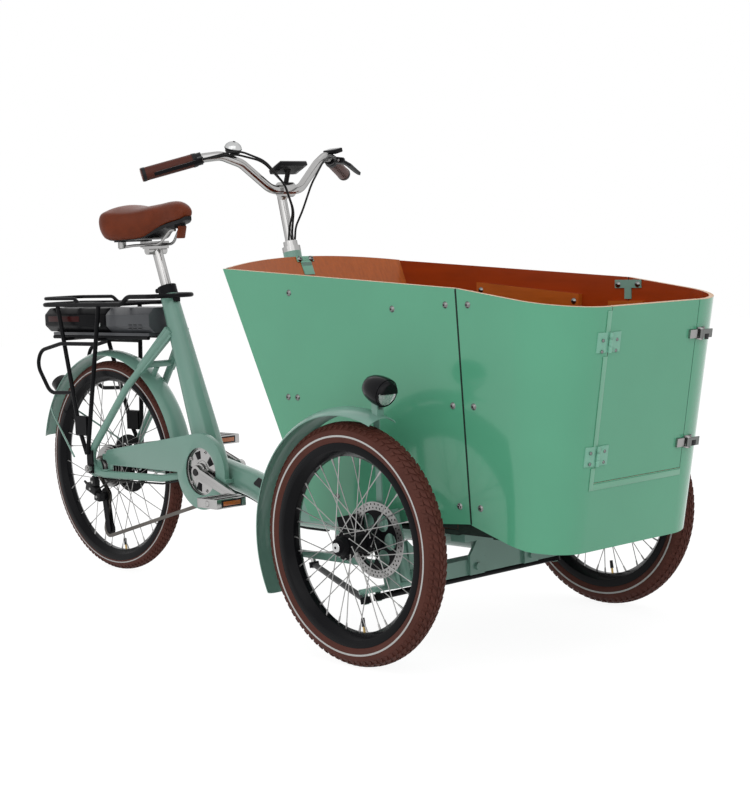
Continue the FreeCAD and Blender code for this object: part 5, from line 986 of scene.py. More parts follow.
    def rim(self) -> bpy.types.Object:
        """Black rim with eased corners and a flange over the foot of the tyre.

        Returns:
            The new piece.
        """
        mesh = bmesh.new()
        outer = self.bead_r + self.flange_lift
        ring = self.tyre_r - self.section_r
        half = math.sqrt(self.section_r ** 2 - (outer - ring) ** 2) + self.flange_lap
        wall = self.bead_r - self.rim_wall
        inner = self.bead_r - self.rim_depth
        step = self.rim_half - self.bead_step
        spun(mesh, [(outer, -half), (self.bead_r, -step), (self.bead_r, step), (outer, half), (wall, half),
                    (inner, self.rim_foot), (inner, -self.rim_foot), (wall, -half)], self.ring_facets)
        round_edges(mesh, self.rim_corner_deg, self.rim_ease)
        return self._finished("rim", mesh, [Finishes.RIM_BLACK])

    def spokes(self) -> None:
        """Laced spokes with their nipples and heads."""
        mesh = bmesh.new()
        foot_r = self.bead_r - self.spoke_sink - self.rim_depth
        inset = self.spoke_inset * self.spoke_r
        seat = self.flange_r - inset
        around, along_axis = self.head_facets
        for index in range(self.spoke_count):
            side = self.mirror if index % 2 else -self.mirror
            lean = 1 if (index // 2) % 2 else -1
            at_rim = 2 * math.pi * index / self.spoke_count
            at_hub = at_rim + lean * math.radians(self.cross_deg)
            face = self.flange_half + lean * (self.flange_seat + self.spoke_r + self.flange_gap)
            start = Vector((seat * math.cos(at_hub), side * face, seat * math.sin(at_hub)))
            end = Vector((foot_r * math.cos(at_rim), side * (self.rim_foot - inset),
                          foot_r * math.sin(at_rim)))
            bar(mesh, start, end, self.spoke_r, self.spoke_r, self.spoke_sides)
            self.nipple.on(mesh, end, (end - start).normalized())
            head = bmesh.ops.create_uvsphere(mesh, u_segments=around, v_segments=along_axis,
                                             radius=self.head_r)
            bmesh.ops.translate(mesh, verts=head["verts"], vec=start)
        self._finished("spokes", mesh, [Finishes.STEEL])

    def rotor(self) -> None:
        """Bright drilled brake track of the disc."""
        mesh = bmesh.new()
        half = self.rotor_t / 2
        outer = self.rotor_r
        inner = outer - self.rotor_wide
        mid = self.mirror * self.rotor_y
        spun(mesh, [(inner, mid - half), (outer, mid - half), (outer, mid + half), (inner, mid + half)],
             self.rotor_facets)
        reach = half + self.hole_proud
        hole = Turned(-reach, reach, self.hole_r, self.hole_r, self.hole_sides)
        dark = []
        for row, out in enumerate(self.hole_rows):
            radius = inner + out
            for index in range(self.holes):
                turn = 2 * math.pi * (index + row / 2) / self.holes
                dark += hole.on(mesh, Vector((radius * math.cos(turn), mid, radius * math.sin(turn))), AXLE)
        paint_faces(dark, 1)
        self._finished("rotor", mesh, [Finishes.STEEL, Finishes.POWDER])

    def axle_cap(self) -> None:
        """Dark drum and bright axle end on the hub's outer face, with painted shade in the axle end's socket.
        """
        mesh = bmesh.new()
        hub, out = Vector(), AXLE * -self.mirror
        self.axle_end.on(mesh, hub, out)
        paint_faces(self.axle_socket_shade.on(mesh, hub, out) + self.drum.on(mesh, hub, out), 1)
        self._finished("axle_cap", mesh, [Finishes.CHROME, Finishes.POWDER])

    def valve(self) -> None:
        """Tyre valve with a brass stem and a dark cap, near the foot of the wheel."""
        mesh = bmesh.new()
        turn = math.radians(self.valve_deg)
        out = Vector((math.cos(turn), 0.0, math.sin(turn)))
        foot = out * (self.bead_r - self.rim_depth)
        paint_faces(self.valve_stem.on(mesh, foot, out), 1)
        self.valve_cap.on(mesh, foot, out)
        self._finished("valve", mesh, [Finishes.PLASTIC, Finishes.BRASS])


@dataclass
class CargoBox:
    """Plywood box: lacquered outside, stained inside, with cut edges, seams, battens and dome bolts, painted
    shade in its seams and gaps and under it, and painted light on its battens and rear panel's inner face.
    """

    body: str = "frame"
    door_body: str = "door"
    seam_ahead: float = 0.195
    half_low: float = 0.255
    low_z: float = 0.256
    flare: float = 27.0 / 564.0
    foot_z: float = 0.292
    floor_top: float = 0.2742
    fillet_run: tuple[float, float] = (-0.100, 0.1462)
    fillet_size: tuple[float, float] = (0.009, 0.026)
    fillet_inset: float = 0.0104
    fillet_ease: float = 0.0012
    seam_run: tuple[float, float] = (0.291, 0.767)
    seam_wide: float = 0.0047
    seam_deep: float = 0.0010
    seam_proud: float = 0.0002
    bolt_r: float = 0.0072
    bolt_t: float = 0.0042
    bolt_facets: int = 20
    bolt_lean: float = 0.048
    # Crown of a bolt: radius, and height as a share of the bolt's.
    bolt_crown: Outline = ((0.0, 1.0), (0.0022, 0.97), (0.0048, 0.72), (0.0066, 0.30))
    # Dark disc in the head's socket: painted shade for the recess.
    socket_shade: Turned = Turned(0.9 * bolt_t, 1.02 * bolt_t, 0.0022, 0.0022, 6)
    # Bolts on the rails and on the splice plates: depth inside the wall, and places ahead of the axle and up.
    inner_rows: tuple[tuple[float, Outline], ...] = (
        (0.0224, ((-0.238, 0.744), (0.048, 0.717))), (0.0134, ((0.168, 0.7525), (0.222, 0.7525))))
    rear_lean: float = math.atan2(236.0, 564.0)
    rear_rim: Vector = on_axle(-0.5752, 0.0, 0.8385)
    plate: Block = Block((0.003, 0.032, 0.046), 0.0006, (0.0018, 0.0, -0.024))
    ears: Block = Block((0.003, 0.052, 0.014), 0.0006, (0.0018, 0.0, -0.006))
    ear_bolts: tuple[tuple[float, float, float], ...] = ((0.0034, -0.018, -0.006), (0.0034, 0.018, -0.006))

    def build(self) -> None:
        """Make the skins of the panels, the strips and the bolts."""
        rearward = Vector((-math.cos(self.rear_lean), 0.0, -math.sin(self.rear_lean)))
        self.skin("box_side_right", self.body, lambda spot: -AXLE)
        self.skin("box_side_left", self.body, lambda spot: AXLE)
        # The rear panel's inner face takes the stain painted lighter, as painted light.
        self.skin("box_rear_panel", self.body, lambda spot: rearward, Finishes.LIT_STAIN)
        self.skin("box_front_shell", self.body, self.from_seams)
        self.skin("door_panel", self.door_body, lambda spot: Vector((1, 0, 0)))
        self.bolts()
        self.floor()
        self.inner_bolts()
        self.rear_plate()
        self.battens()
        self.fillet()
        self.seam_shadow_strips()
        dress("box_brackets", Finishes.ENAMEL)

    def from_seams(self, spot: Vector) -> Vector:
        """Way out of the bowed shell.

        Args:
            spot: point of the shell.

        Returns:
            The level way from the middle of the two seams to the point.
        """
        away = spot - on_axle(self.seam_ahead, 0.0, 0.0)
        away.z = 0.0
        return away.normalized()

    def skin(self, node: str, body: str, outward: Callable[[Vector], Vector], inside: Finish = Finishes.STAIN
             ) -> None:
        """Panel with lacquer on its outer face, stain on its inner face and cut edges between: pale cut ply
        where an edge faces up, painted shade on the edges in the seams and gaps.

        Args:
            node: CAD panel.
            body: body that carries it.
            outward: way out of the box at a point of the panel.
            inside: finish of its inner face.
        """
        mesh = copied(node)
        for face in mesh.faces:
            facing = face.normal.dot(outward(face.calc_center_median()))
            # Edges that face up keep the pale cut ply; the rest take painted shade for the dark of the seams
            # and gaps.
            edge = 2 if face.normal.z > LEVEL else 3
            face.material_index = 0 if facing > FACE_ON else 1 if facing < -FACE_ON else edge
        made = piece(node + "_skin", mesh, [Finishes.LACQUER, inside, Finishes.CUT_PLY, Finishes.PAINTED_SHADE], body)
        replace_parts(made, node)

    def dome(self, mesh: BMesh, foot: Vector, facing: Vector) -> None:
        """Dome bolt head with painted shade in its socket.

        Args:
            mesh: mesh that receives the head.
            foot: middle of its underside.
            facing: way that the head points.
        """
        crown = [(radius, self.bolt_t * share) for radius, share in self.bolt_crown]
        head = spun(mesh, crown + [(self.bolt_r, 0.0), (0.0, 0.0)], self.bolt_facets, closed=False)
        socket = self.socket_shade.on(mesh, Vector(), AXLE)
        # The dark socket is painted shade for the recess.
        paint_faces(socket, 1)
        turn = AXLE.rotation_difference(facing).to_matrix().to_4x4()
        moved(mesh, Matrix.Translation(foot) @ turn, head + socket)

    def wall(self, side: float, x: float, z: float, inset: float) -> Vector:
        """Point of a side wall.

        Args:
            side: -1 for the right wall, 1 for the left.
            x: distance ahead of the front axle.
            z: height.
            inset: distance inward from the wall's outer face.

        Returns:
            The point.
        """
        half = self.half_low + (z - self.low_z) * self.flare
        return on_axle(x, side * (half - inset), z)

    def along_wall(self, side: float, x: float, z: float, inset: float) -> Matrix:
        """Frame at a point of a side wall that leans as the wall does.

        Args:
            side: -1 for the right wall, 1 for the left.
            x: distance ahead of the front axle.
            z: height.
            inset: distance inward from the wall's outer face.

        Returns:
            Frame with X along the wall and Z up its slope.
        """
        lean = Matrix.Rotation(-side * math.atan(self.flare), 4, "X")
        return Matrix.Translation(self.wall(side, x, z, inset)) @ lean

    def floor(self) -> None:
        """Floor with a stained top, and painted shade on its underside and sides."""
        mesh = copied("box_floor")
        for face in mesh.faces:
            # Faces that don't face up take painted shade, for the shade under the box.
            face.material_index = int(face.normal.z < LEVEL)
        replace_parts(piece("box_floor_skin", mesh, [Finishes.STAIN, Finishes.PAINTED_SHADE], self.body), "box_floor")

    def battens(self) -> None:
        """Inner battens in the stain painted lighter, as painted light, with painted shade where they stand
        below the panels.
        """
        mesh = copied("box_battens")
        sliced(mesh, (0.0, 0.0, self.foot_z), UP)
        for face in mesh.faces:
            # Faces below the panels' foot take painted shade.
            face.material_index = int(face.calc_center_median().z < self.foot_z)
        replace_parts(piece("box_battens_skin", mesh, [Finishes.LIT_STAIN, Finishes.PAINTED_SHADE], self.body), "box_battens")

    def fillet(self) -> None:
        """Strips along the floor that close the gap under the sides where their foot rises, with painted shade
        on their outer faces and undersides.
        """
        mesh = bmesh.new()
        start, end = self.fillet_run
        thick, tall = self.fillet_size
        block = Block((end - start, thick, tall), self.fillet_ease)
        for side in (-1.0, 1.0):
            strip = block.on(mesh, self.along_wall(side, (start + end) / 2, self.floor_top + tall / 2,
                                                   self.fillet_inset + thick / 2))
            mesh.normal_update()
            for face in {face for v in strip for face in v.link_faces}:
                # Outer faces and undersides take painted shade, for the shade in the gap under the sides.
                face.material_index = int(face.normal.y * side > LEVEL or face.normal.z < -LEVEL)
        piece("box_fillet", mesh, [Finishes.STAIN, Finishes.PAINTED_SHADE], self.body)

    def seam_shadow_strips(self) -> None:
        """Strip of painted shadow in each side seam, for the shadow in the gap."""
        mesh = bmesh.new()
        low, high = self.seam_run
        strip = Block((self.seam_wide, self.seam_deep, high - low))
        inset = self.seam_deep / 2 - self.seam_proud
        for side in (-1.0, 1.0):
            strip.on(mesh, self.along_wall(side, self.seam_ahead, (low + high) / 2, inset))
        piece("box_seam_shadow", mesh, [Finishes.PAINTED_SHADE], self.body)

    def inner_bolts(self) -> None:
        """Dome bolts on the side rails and on the splice plates at the seams."""
        mesh = bmesh.new()
        for side in (-1.0, 1.0):
            inward = Vector((0.0, -side, self.bolt_lean)).normalized()
            for inset, places in self.inner_rows:
                for x, z in places:
                    self.dome(mesh, self.wall(side, x, z, inset), inward)
        piece("box_inner_bolts", mesh, [Finishes.DULL_CHROME, Finishes.POWDER], self.body)

    def rear_plate(self) -> None:
        """Green plate with two bolts where the rear rim meets the head tube's bracket."""
        mesh = bmesh.new()
        turn = Matrix.Rotation(-self.rear_lean, 4, "Y")
        place = Matrix.Translation(self.rear_rim) @ turn
        paint_faces(self.plate.on(mesh, place) + self.ears.on(mesh, place), 2)
        facing = (turn @ Vector((1.0, 0.0, 0.0))).normalized()
        for spot in self.ear_bolts:
            self.dome(mesh, place @ Vector(spot), facing)
        finishes = [Finishes.DULL_CHROME, Finishes.POWDER, Finishes.HINGE]
        piece("box_rear_plate", mesh, finishes, self.body)

    def bolts(self) -> None:
        """Dome bolts where the CAD heads are."""
        heads = copied("box_bolts")
        mesh = bmesh.new()
        for group in islands(heads):
            spot = middle(group)
            side = 1.0 if spot.y > 0 else -1.0
            facing = Vector((0.0, side, -self.bolt_lean)).normalized()
            self.dome(mesh, spot - facing * (self.bolt_t / 2), facing)
        heads.free()
        made = piece("box_dome_bolts", mesh, [Finishes.DULL_CHROME, Finishes.POWDER], self.body)
        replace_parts(made, "box_bolts")


@dataclass
class DoorHardware:
    """Trim strips, screws and latch insets on the sloping front face."""

    foot: Vector = on_axle(0.394, 0.0, 0.234)
    lean: float = math.atan2(0.087, 0.490)
    half: float = 0.139
    low: float = 0.142
    gap: float = 0.0014
    strip: float = 0.012
    strip_t: float = 0.0014
    strip_lift: float = 0.0001
    strip_ease: float = 0.0004
    runs: Outline = ((0.1286, 0.1745), (0.2175, 0.3995), (0.4425, 0.4900))
    heights: tuple[float, float] = (0.421, 0.196)
    screw_r: float = 0.0036
    screw_facets: tuple[int, int] = (12, 8)
    screw_flat: float = 0.55
    screw_lift: float = 0.0026
    screw_aside: float = 0.021
    screw_shifts: tuple[float, float] = (-0.011, 0.011)
    latch_inset: Block = Block((0.0012, 0.013, 0.0115), 0.0003)
    inset_lift: float = 0.0096
    inset_aside: float = 0.002

    def build(self) -> None:
        """Make the trim, the screws and the insets and finish the fittings."""
        self.trim()
        self.screws("door_hinge_screws", "frame", -self.half - self.screw_aside)
        self.screws("door_leaf_screws", "door", -self.half + self.screw_aside)
        for name, up in zip(("latch_upper", "latch_lower"), self.heights):
            self.inset(name, up)
            dress(name, Finishes.DULL_CHROME)
        metal = [Finishes.HINGE, Finishes.STEEL]
        for node, body in (("door_hinges", "frame"), ("door_fittings", "door")):
            recoloured(node, body, metal, lambda spot, rank: int(spot.y > 0))

    def place(self, out: float, across: float, up: float) -> Matrix:
        """Place on the front face.

        Args:
            out: distance in front of the face.
            across: distance to the left of the middle.
            up: distance up the slope from the foot.

        Returns:
            Frame with X out of the face and Z up the slope.
        """
        turn = Matrix.Rotation(self.lean, 4, "Y")
        return Matrix.Translation(self.foot) @ turn @ Matrix.Translation((out, across, up))

    def trim(self) -> None:
        """Pale strips on the shell along the doorway's hinge side and foot."""
        mesh = bmesh.new()
        out = self.strip_t / 2 + self.strip_lift
        side = -self.half - self.gap - self.strip / 2
        foot = self.low - self.gap - self.strip / 2
        for low, high in self.runs:
            upright = Block((self.strip_t, self.strip, high - low), self.strip_ease)
            upright.on(mesh, self.place(out, side, (low + high) / 2))
        sill = Block((self.strip_t, 2 * (self.half + self.gap), self.strip), self.strip_ease)
        sill.on(mesh, self.place(out, 0.0, foot))
        piece("door_trim", mesh, [Finishes.TRIM], "frame")

    def screws(self, name: str, body: str, across: float) -> None:
        """Dome screws in a row of hinge leaves.

        Args:
            name: name of the piece.
            body: body that carries the leaves.
            across: distance of the screws from the middle.
        """
        mesh = bmesh.new()
        around, along_axis = self.screw_facets
        flat = Matrix.Diagonal((self.screw_flat, 1.0, 1.0, 1.0))
        for up in self.heights:
            for shift in self.screw_shifts:
                place = self.place(self.screw_lift, across, up + shift) @ flat
                head = bmesh.ops.create_uvsphere(mesh, u_segments=around, v_segments=along_axis,
                                                 radius=self.screw_r)
                moved(mesh, place, head["verts"])
        piece(name, mesh, [Finishes.DULL_CHROME], body)

    def inset(self, node: str, up: float) -> None:
        """Dark square set into a latch lever.

        Args:
            node: the latch lever.
            up: its place up the slope.
        """
        low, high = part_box(node)
        mesh = bmesh.new()
        self.latch_inset.on(mesh, self.place(self.inset_lift, (low[1] + high[1]) / 2 + self.inset_aside, up))
        piece(node + "_inset", mesh, [Finishes.PLASTIC], node + "_body")


@dataclass
class Drive:
    """Crank spider, caps and pedal reflectors."""

    axis: Vector = on_axle(-0.940, 0.0, 0.303)
    spider_y: float = -0.05445
    bolts: int = 5
    ring_radii: tuple[float, float] = (0.027, 0.060)
    ring_facets: int = 64
    # Section of a raised ring: out from its radius, and along the axle from the spider's face.
    ring_section: Outline = ((-0.0016, 0.0005), (-0.001, -0.0009), (0.001, -0.0009), (0.0016, 0.0005))
    bolt_out: float = 0.052
    bolt: Turned = Turned(0.0005, -0.0022, 0.0046, 0.0040)
    # Dark disc in each bolt's socket: painted shade for the recess.
    socket_shade: Turned = Turned(-0.0020, -0.0024, 0.0021, 0.0021, 6)
    window: Block = Block((0.020, 0.0006, 0.024), 0.0002)
    window_out: float = 0.042
    window_taper: float = 0.6
    arm_y: float = 0.077
    cap: Turned = Turned(-0.001, 0.0015, 0.0105, 0.0088, 24)
    lens: Block = Block((0.0034, 0.054, 0.011), 0.0008)
    lens_rim: Block = Block((0.0026, 0.062, 0.018), 0.0006)
    lens_proud: float = 0.0006
    pedal_ease: float = 0.0016
    crank_ease: float = 0.0018

    def build(self) -> None:
        """Make the small pieces and dress the rest."""
        self.spider()
        self.caps()
        for hand in ("right", "left"):
            self.reflectors(hand)
            eased("pedal_" + hand, "pedal_" + hand + "_body", Finishes.ALLOY, self.pedal_ease)
            eased("crank_" + hand, "crank", Finishes.ALLOY, self.crank_ease)
        dress("chainring", Finishes.STEEL)
        dress("sprockets", Finishes.STEEL)
        dress("chain", Finishes.CHAIN)
        dress("derailleur", Finishes.POWDER)

    def spider(self) -> None:
        """Bolts, windows and raised rings on the spider's face, with painted shade in the bolts' sockets."""
        mesh = bmesh.new()
        face = self.spider_y
        for radius in self.ring_radii:
            spun(mesh, [(radius + out, face + along) for out, along in self.ring_section], self.ring_facets)
        length = self.window.size[0]
        inner = self.window_out - length / 2
        dark = []
        for index in range(self.bolts):
            turn = 2 * math.pi * index / self.bolts
            spot = Vector((math.cos(turn), 0.0, math.sin(turn))) * self.bolt_out + AXLE * face
            self.bolt.on(mesh, spot, AXLE)
            dark += self.socket_shade.on(mesh, spot, AXLE)
            window = self.window.at(mesh, (self.window_out, face, 0.0))
            for v in window:
                v.co.z *= self.window_taper + (1 - self.window_taper) * (v.co.x - inner) / length
            moved(mesh, Matrix.Rotation(-turn - math.pi / self.bolts, 4, "Y"), window)
            dark += window
        paint_faces(dark, 1)
        bmesh.ops.translate(mesh, verts=mesh.verts, vec=self.axis)
        piece("crank_spider_detail", mesh, [Finishes.ALLOY, Finishes.POWDER], "crank")

    def caps(self) -> None:
        """Dark caps over the crank bolts."""
        mesh = bmesh.new()
        for side in (-1, 1):
            self.cap.on(mesh, self.axis + AXLE * side * self.arm_y, AXLE * side)
        piece("crank_caps", mesh, [Finishes.PLASTIC], "crank")

    def reflectors(self, hand: str) -> None:
        """Amber reflectors with dark rims on a pedal's front and rear.

        Args:
            hand: right or left.
        """
        low, high = (Vector(corner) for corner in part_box("pedal_" + hand))
        centre = (low + high) / 2
        mesh = bmesh.new()
        for end in (low.x - self.lens_proud, high.x + self.lens_proud):
            spot = (end, centre.y, centre.z)
            self.lens.at(mesh, spot)
            paint_faces(self.lens_rim.at(mesh, spot), 1)
        finishes = [Finishes.AMBER, Finishes.PLASTIC]
        piece("pedal_reflectors_" + hand, mesh, finishes, "pedal_" + hand + "_body")


@dataclass
class Lamps:
    """Headlight with its bowl, lens, rim and hood, and the rear lamp."""

    axis: Vector = on_axle(0.084, -0.400, 0.574)
    aim: float = 0.30
    face: float = 0.0286
    lens_r: float = 0.0245
    facets: int = 48
    rim_facets: int = 64
    # Radius, and distance along the beam from the lamp's middle.
    shell_outline: Outline = (
        (0.0, -0.0300), (0.0075, -0.0292), (0.0150, -0.0268), (0.0212, -0.0212), (0.0262, -0.0110),
        (0.0292, 0.0020), (0.0302, 0.0150), (0.0300, 0.0240), (0.0292, face), (0.0, face))
    # Radius, and distance along the beam from the lamp's face.
    bowl_outline: Outline = ((0.0, 0.0004), (0.008, 0.0005), (0.0165, 0.0012), (lens_r, 0.0026),
                             (lens_r, -0.0004), (0.0, -0.0004))
    glass_outline: Outline = ((0.0, 0.0080), (0.010, 0.0073), (0.018, 0.0054), (lens_r, 0.0030),
                              (lens_r, 0.0026), (0.018, 0.0042), (0.010, 0.0061), (0.0, 0.0068))
    rim_outline: Outline = ((lens_r - 0.0004, -0.0010), (lens_r - 0.0004, 0.0036), (lens_r + 0.0016, 0.0040),
                            (lens_r + 0.0030, 0.0010), (lens_r + 0.0030, -0.0010))
    hood_cone: Turned = Turned(face + 0.001, face + 0.0095, lens_r + 0.003, lens_r - 0.002, 48)
    hood_z: float = 0.010
    hood_cut: tuple[float, float, float] = (-0.25, 0.0, -1.0)
    hood_ease: float = 0.0012
    pivot_drop: float = 0.032
    lug: Block = Block((0.0118, 0.0098, 0.024), 0.001, (0.0, 0.0, 0.008))
    lug_eye: Turned = Turned(-0.0049, 0.0049, 0.0062, 0.0062)
    tail_facing: float = -0.35

    def build(self) -> None:
        """Make the headlight's pieces and finish the rear lamp."""
        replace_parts(self.shell(), "headlight")
        self.ring("headlight_bowl", self.bowl_outline, Finishes.CHROME)
        self.ring("headlight_lens", self.glass_outline, Finishes.GLASS)
        self.ring("headlight_rim", self.rim_outline, Finishes.GLOSS, self.rim_facets, closed=True)
        self.hood()
        self.tail()

    def aimed(self) -> Matrix:
        """Frame of the lamp, with X along its beam."""
        return Matrix.Translation(self.axis) @ Matrix.Rotation(self.aim, 4, "Y")

    def spin_frame(self) -> Matrix:
        """Frame of the lamp, with Y along its beam."""
        return self.aimed() @ Matrix.Rotation(-math.pi / 2, 4, "Z")

    def shell(self) -> bpy.types.Object:
        """Rounded bullet over the lamp's body, with its lug.

        Returns:
            The new piece.
        """
        mesh = bmesh.new()
        spun(mesh, self.shell_outline, self.facets, closed=False)
        moved(mesh, self.spin_frame())
        pivot = self.axis - UP * self.pivot_drop
        self.lug.at(mesh, pivot)
        self.lug_eye.on(mesh, pivot, AXLE)
        return piece("headlight_shell", mesh, [Finishes.GLOSS], "lamp")

    def ring(self, name: str, outline: Outline, finish: Finish, facets: Optional[int] = None,
             closed: bool = False) -> None:
        """Piece turned round the beam at the lamp's face.

        Args:
            name: name of the piece.
            outline: radius, and distance from the lamp's face.
            finish: its finish.
            facets: facets round it, the lamp's own number if left out.
            closed: whether the outline runs back to its start.
        """
        mesh = bmesh.new()
        spun(mesh, [(radius, self.face + out) for radius, out in outline], facets or self.facets, closed)
        moved(mesh, self.spin_frame())
        piece(name, mesh, [finish], "lamp")

    def hood(self) -> None:
        """Dark hood over the upper part of the lens."""
        mesh = bmesh.new()
        self.hood_cone.on(mesh, Vector(), Vector((1.0, 0.0, 0.0)))
        sliced(mesh, (0.0, 0.0, self.hood_z), self.hood_cut, trim=True)
        round_edges(mesh, CORNER_DEG, self.hood_ease)
        moved(mesh, self.aimed())
        piece("headlight_hood", mesh, [Finishes.GLOSS], "lamp")

    def tail(self) -> None:
        """Rear lamp: dark housing with its red lens facing the rear."""
        mesh = copied("tail_lamp")
        for face in mesh.faces:
            face.material_index = int(face.normal.x < self.tail_facing)
        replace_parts(piece("tail_lamp_finished", mesh, [Finishes.GLOSS, Finishes.RED], "frame"), "tail_lamp")


@dataclass
class Cockpit:
    """Handlebar with wrapped leather grips, bell, display and controls."""

    grip_end: Vector = on_axle(-0.769, -0.320, 1.046)
    grip_in: Vector = on_axle(-0.692, -0.200, 1.081)
    grip_len: float = 0.128
    grip_r: float = 0.016
    end_ring: Turned = Turned(-0.002, 0.006, 0.0168, 0.0168, 28)
    inner_ring: Turned = Turned(-0.007, 0.003, 0.0170, 0.0160, 28)
    # Shares of outward and downward in the way that the laced seam faces.
    seam_way: tuple[float, float] = (0.55, 0.83)
    stitches: int = 18
    stitch: Block = Block((0.0014, 0.0090, 0.0012), 0.0003)
    stitch_start: float = 0.010
    stitch_run: float = 0.108
    stitch_sink: float = 0.0002
    stitch_slant: float = 0.6
    bell: Vector = on_axle(-0.649, -0.1425, 1.1011)
    bell_r: float = 0.0205
    bell_facets: tuple[int, int] = (32, 16)
    bell_lean: float = 0.32
    bell_squash: float = 0.78
    bell_knob: Turned = Turned(bell_r - 0.003, bell_r + 0.0012, 0.0036, 0.003)
    bell_skirt: Turned = Turned(-0.0090, 0.0006, bell_r * 0.86, bell_r + 0.0008, 32)
    screen: Vector = on_axle(-0.617, 0.0, 1.0522)
    screen_deg: float = -25.0
    screen_case: Block = Block((0.050, 0.084, 0.0110), 0.0026, (0.0, 0.0, 0.0012))
    screen_edge: Block = Block((0.049, 0.083, 0.0016), 0.0006, (0.0, 0.0, 0.0066))
    screen_glass: Block = Block((0.043, 0.075, 0.0012), 0.0004, (0.0, 0.0, 0.0080))
    keypad: Vector = on_axle(-0.682, 0.206, 1.0985)
    keypad_lean: float = 0.25
    keypad_case: Block = Block((0.046, 0.026, 0.0115), 0.0025)

    def build(self) -> None:
        """Make the grips, the bell and the screen and dress the rest."""
        dress("grips", Finishes.GRIP)
        self.wrap("grip_wrap_right", 1.0)
        self.wrap("grip_wrap_left", -1.0)
        self.dome()
        self.display()
        dress("handlebar", Finishes.ALLOY)
        dress("steering_column", Finishes.ALLOY)
        dress("bar_controls", Finishes.PLASTIC)
        dress("bar_cables", Finishes.CABLE)
        dress("brake_lever_right", Finishes.POWDER)
        dress("brake_lever_left", Finishes.POWDER)

    def wrap(self, name: str, side: float) -> None:
        """End rings and laced seam of one grip.

        Args:
            name: name of the piece.
            side: 1 for the right grip, -1 for the left.
        """
        mesh = bmesh.new()
        flip = Vector((1.0, side, 1.0))
        start, inner = self.grip_end * flip, self.grip_in * flip
        along = (inner - start).normalized()
        dark = self.end_ring.on(mesh, start, along)
        dark += self.inner_ring.on(mesh, start + along * self.grip_len, along)
        out = along.cross(UP).normalized()
        if out.y * side > 0:
            out = -out
        outward, downward = self.seam_way
        seam = (out * outward - UP * downward).normalized()
        seam = (seam - along * seam.dot(along)).normalized()
        turn = Matrix((along, seam.cross(along), seam)).transposed().to_4x4()
        for index in range(self.stitches):
            reach = self.stitch_start + self.stitch_run * index / (self.stitches - 1)
            spot = start + along * reach + seam * (self.grip_r - self.stitch_sink)
            slant = Matrix.Rotation(self.stitch_slant if index % 2 else -self.stitch_slant, 4, "Z")
            self.stitch.on(mesh, Matrix.Translation(spot) @ turn @ slant)
        paint_faces(dark, 1)
        piece(name, mesh, [Finishes.THREAD, Finishes.PLASTIC], "steering")

    def dome(self) -> None:
        """Bright bell dome over its dark base."""
        mesh = bmesh.new()
        around, along_axis = self.bell_facets
        bmesh.ops.create_uvsphere(mesh, u_segments=around, v_segments=along_axis, radius=self.bell_r)
        sliced(mesh, (0, 0, 0), (0, 0, -1), trim=True)
        paint_faces(self.bell_knob.on(mesh, Vector(), UP) + self.bell_skirt.on(mesh, Vector(), UP), 1)
        lean = Matrix.Rotation(self.bell_lean, 4, "Y") @ Matrix.Diagonal((1.0, 1.0, self.bell_squash, 1.0))
        moved(mesh, Matrix.Translation(self.bell) @ lean)
        piece("bell_dome", mesh, [Finishes.CHROME, Finishes.PLASTIC], "steering")

    def display(self) -> None:
        """Display with its dark glass and pale edge, and the keypad on the left of the bar."""
        mesh = bmesh.new()
        place = Matrix.Translation(self.screen) @ Matrix.Rotation(math.radians(self.screen_deg), 4, "Y")
        self.screen_case.on(mesh, place)
        paint_faces(self.screen_edge.on(mesh, place), 1)
        self.screen_glass.on(mesh, place)
        self.keypad_case.on(mesh, Matrix.Translation(self.keypad) @ Matrix.Rotation(self.keypad_lean, 4, "X"))
        piece("display_glass", mesh, [Finishes.GLOSS, Finishes.ALLOY], "steering")


